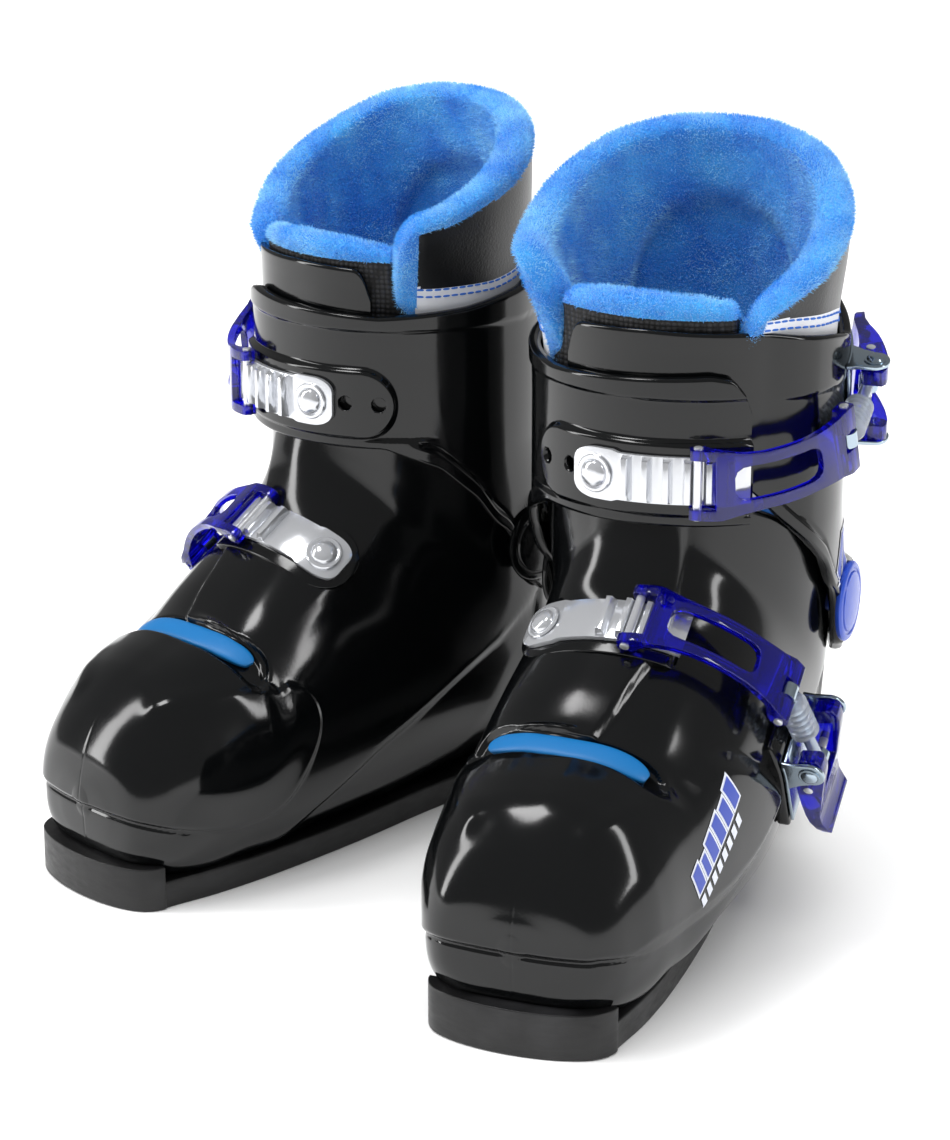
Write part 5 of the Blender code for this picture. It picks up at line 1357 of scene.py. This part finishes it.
# %% Mirror, ride and replace
RIGHT_SAG, SAG_FROM = 0.06, 0.2
MIRROR = Matrix.Scale(-1.0, 4, (1, 0, 0))
TURN = Matrix.Translation(RIGHT_PLACE) @ Matrix.Rotation(RIGHT_TURN, 4, "Z") @ MIRROR


def mirrored(piece):
    """A piece's copy for the right boot. The soft pieces sag a little, as that liner stands lower."""
    copy = piece.copy()
    copy.data = piece.data.copy()
    copy.name = piece.name.replace("left_", "right_", 1)
    copy.data.name = copy.name
    link(copy)
    if "liner" in piece.name or "fleece" in piece.name or "stitch" in piece.name:
        points = coordinates(copy)
        points[:, 2] -= np.maximum(points[:, 2] - SAG_FROM, 0.0) * RIGHT_SAG
        copy.data.vertices.foreach_set("co", points.ravel())
    copy.data.transform(TURN)
    copy.data.flip_normals()
    return copy


for entry in PIECES:
    pair = {"left": entry["object"], "right": mirrored(entry["object"])}
    for side, piece in pair.items():
        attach(piece, f"{side}_{entry['body']}")
        if entry["replaces"]:
            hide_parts(*[f"{side}_{node}" for node in entry["replaces"]])
INSIDE = {"liner_foot": fleece, "boot_board": black_mesh, "footbed": black_mesh}
for side in ("left", "right"):
    for node, material in INSIDE.items():
        thing = bpy.data.objects.get(f"{side}_{node}")
        if thing:
            for place in thing.material_slots:
                place.material = material

# %% [markdown]
# ## Floor, light and camera
# A pale floor, a wide dim sun and a grey sky give even light with soft shadows. The sun and the lamp at
# the back leave no reflections, so the black plastic stays deep. Three lamps make its highlights.

# %% Stage
FLOOR_HALF = 6.0
SKY_STRENGTH, SUN_STRENGTH, SUN_WIDTH = 0.27, 2.5, 80.0
CENTRE = (-0.06, 0.02, 0.12)


def area_light(name, place, power, size, size_y):
    """A rectangular lamp that faces the boots. Place and sizes are in metres, power in watts."""
    data = bpy.data.lights.new(name, "AREA")
    data.energy = power
    data.shape = "RECTANGLE"
    data.size = size
    data.size_y = size_y
    light = bpy.data.objects.new(name, data)
    light.location = place
    light.rotation_euler = (Vector(CENTRE) - Vector(place)).to_track_quat("-Z", "Y").to_euler()
    link(light)
    return light


corners = [(x * FLOOR_HALF, y * FLOOR_HALF, 0) for x, y in ((-1, -1), (1, -1), (1, 1), (-1, 1))]
floor_data = bpy.data.meshes.new("floor")
floor_data.from_pydata(corners, [], [(0, 1, 2, 3)])
floor_data.materials.append(new_material("floor_paper", "fdfdfd", 0.9))
floor = bpy.data.objects.new("floor", floor_data)
link(floor)

world = bpy.data.worlds.new("studio")
world.use_nodes = True
sky = world.node_tree.nodes["Background"].inputs
sky["Color"].default_value = (1.0, 1.0, 1.0, 1.0)
sky["Strength"].default_value = SKY_STRENGTH
bpy.context.scene.world = world
sun_data = bpy.data.lights.new("sky", "SUN")
sun_data.energy = SUN_STRENGTH
sun_data.angle = math.radians(SUN_WIDTH)
sun = bpy.data.objects.new("sky", sun_data)
sun.rotation_euler = (math.radians(18), math.radians(-12), 0)
sun.visible_glossy = False
link(sun)
area_light("key", (-0.7, -0.45, 1.9), 7, 0.5, 0.35)
area_light("left_strip", (-1.3, -0.5, 0.7), 9, 0.22, 1.3)
area_light("right_strip", (1.3, -0.2, 0.9), 7, 0.2, 1.2)
area_light("back", (-0.2, 1.3, 1.5), 16, 1.4, 0.6).visible_glossy = False

camera_data = bpy.data.cameras.new("camera")
camera_data.lens = 101.66
camera_data.sensor_width = 36.0
camera = bpy.data.objects.new("camera", camera_data)
camera.location = (0.3412, -1.0378, 0.4982)
camera.rotation_euler = Vector((-0.3425, 0.8838, -0.3184)).to_track_quat("-Z", "Y").to_euler()
link(camera)
bpy.context.scene.camera = camera
bpy.context.scene.view_settings.view_transform = "Standard"
print("stage set")
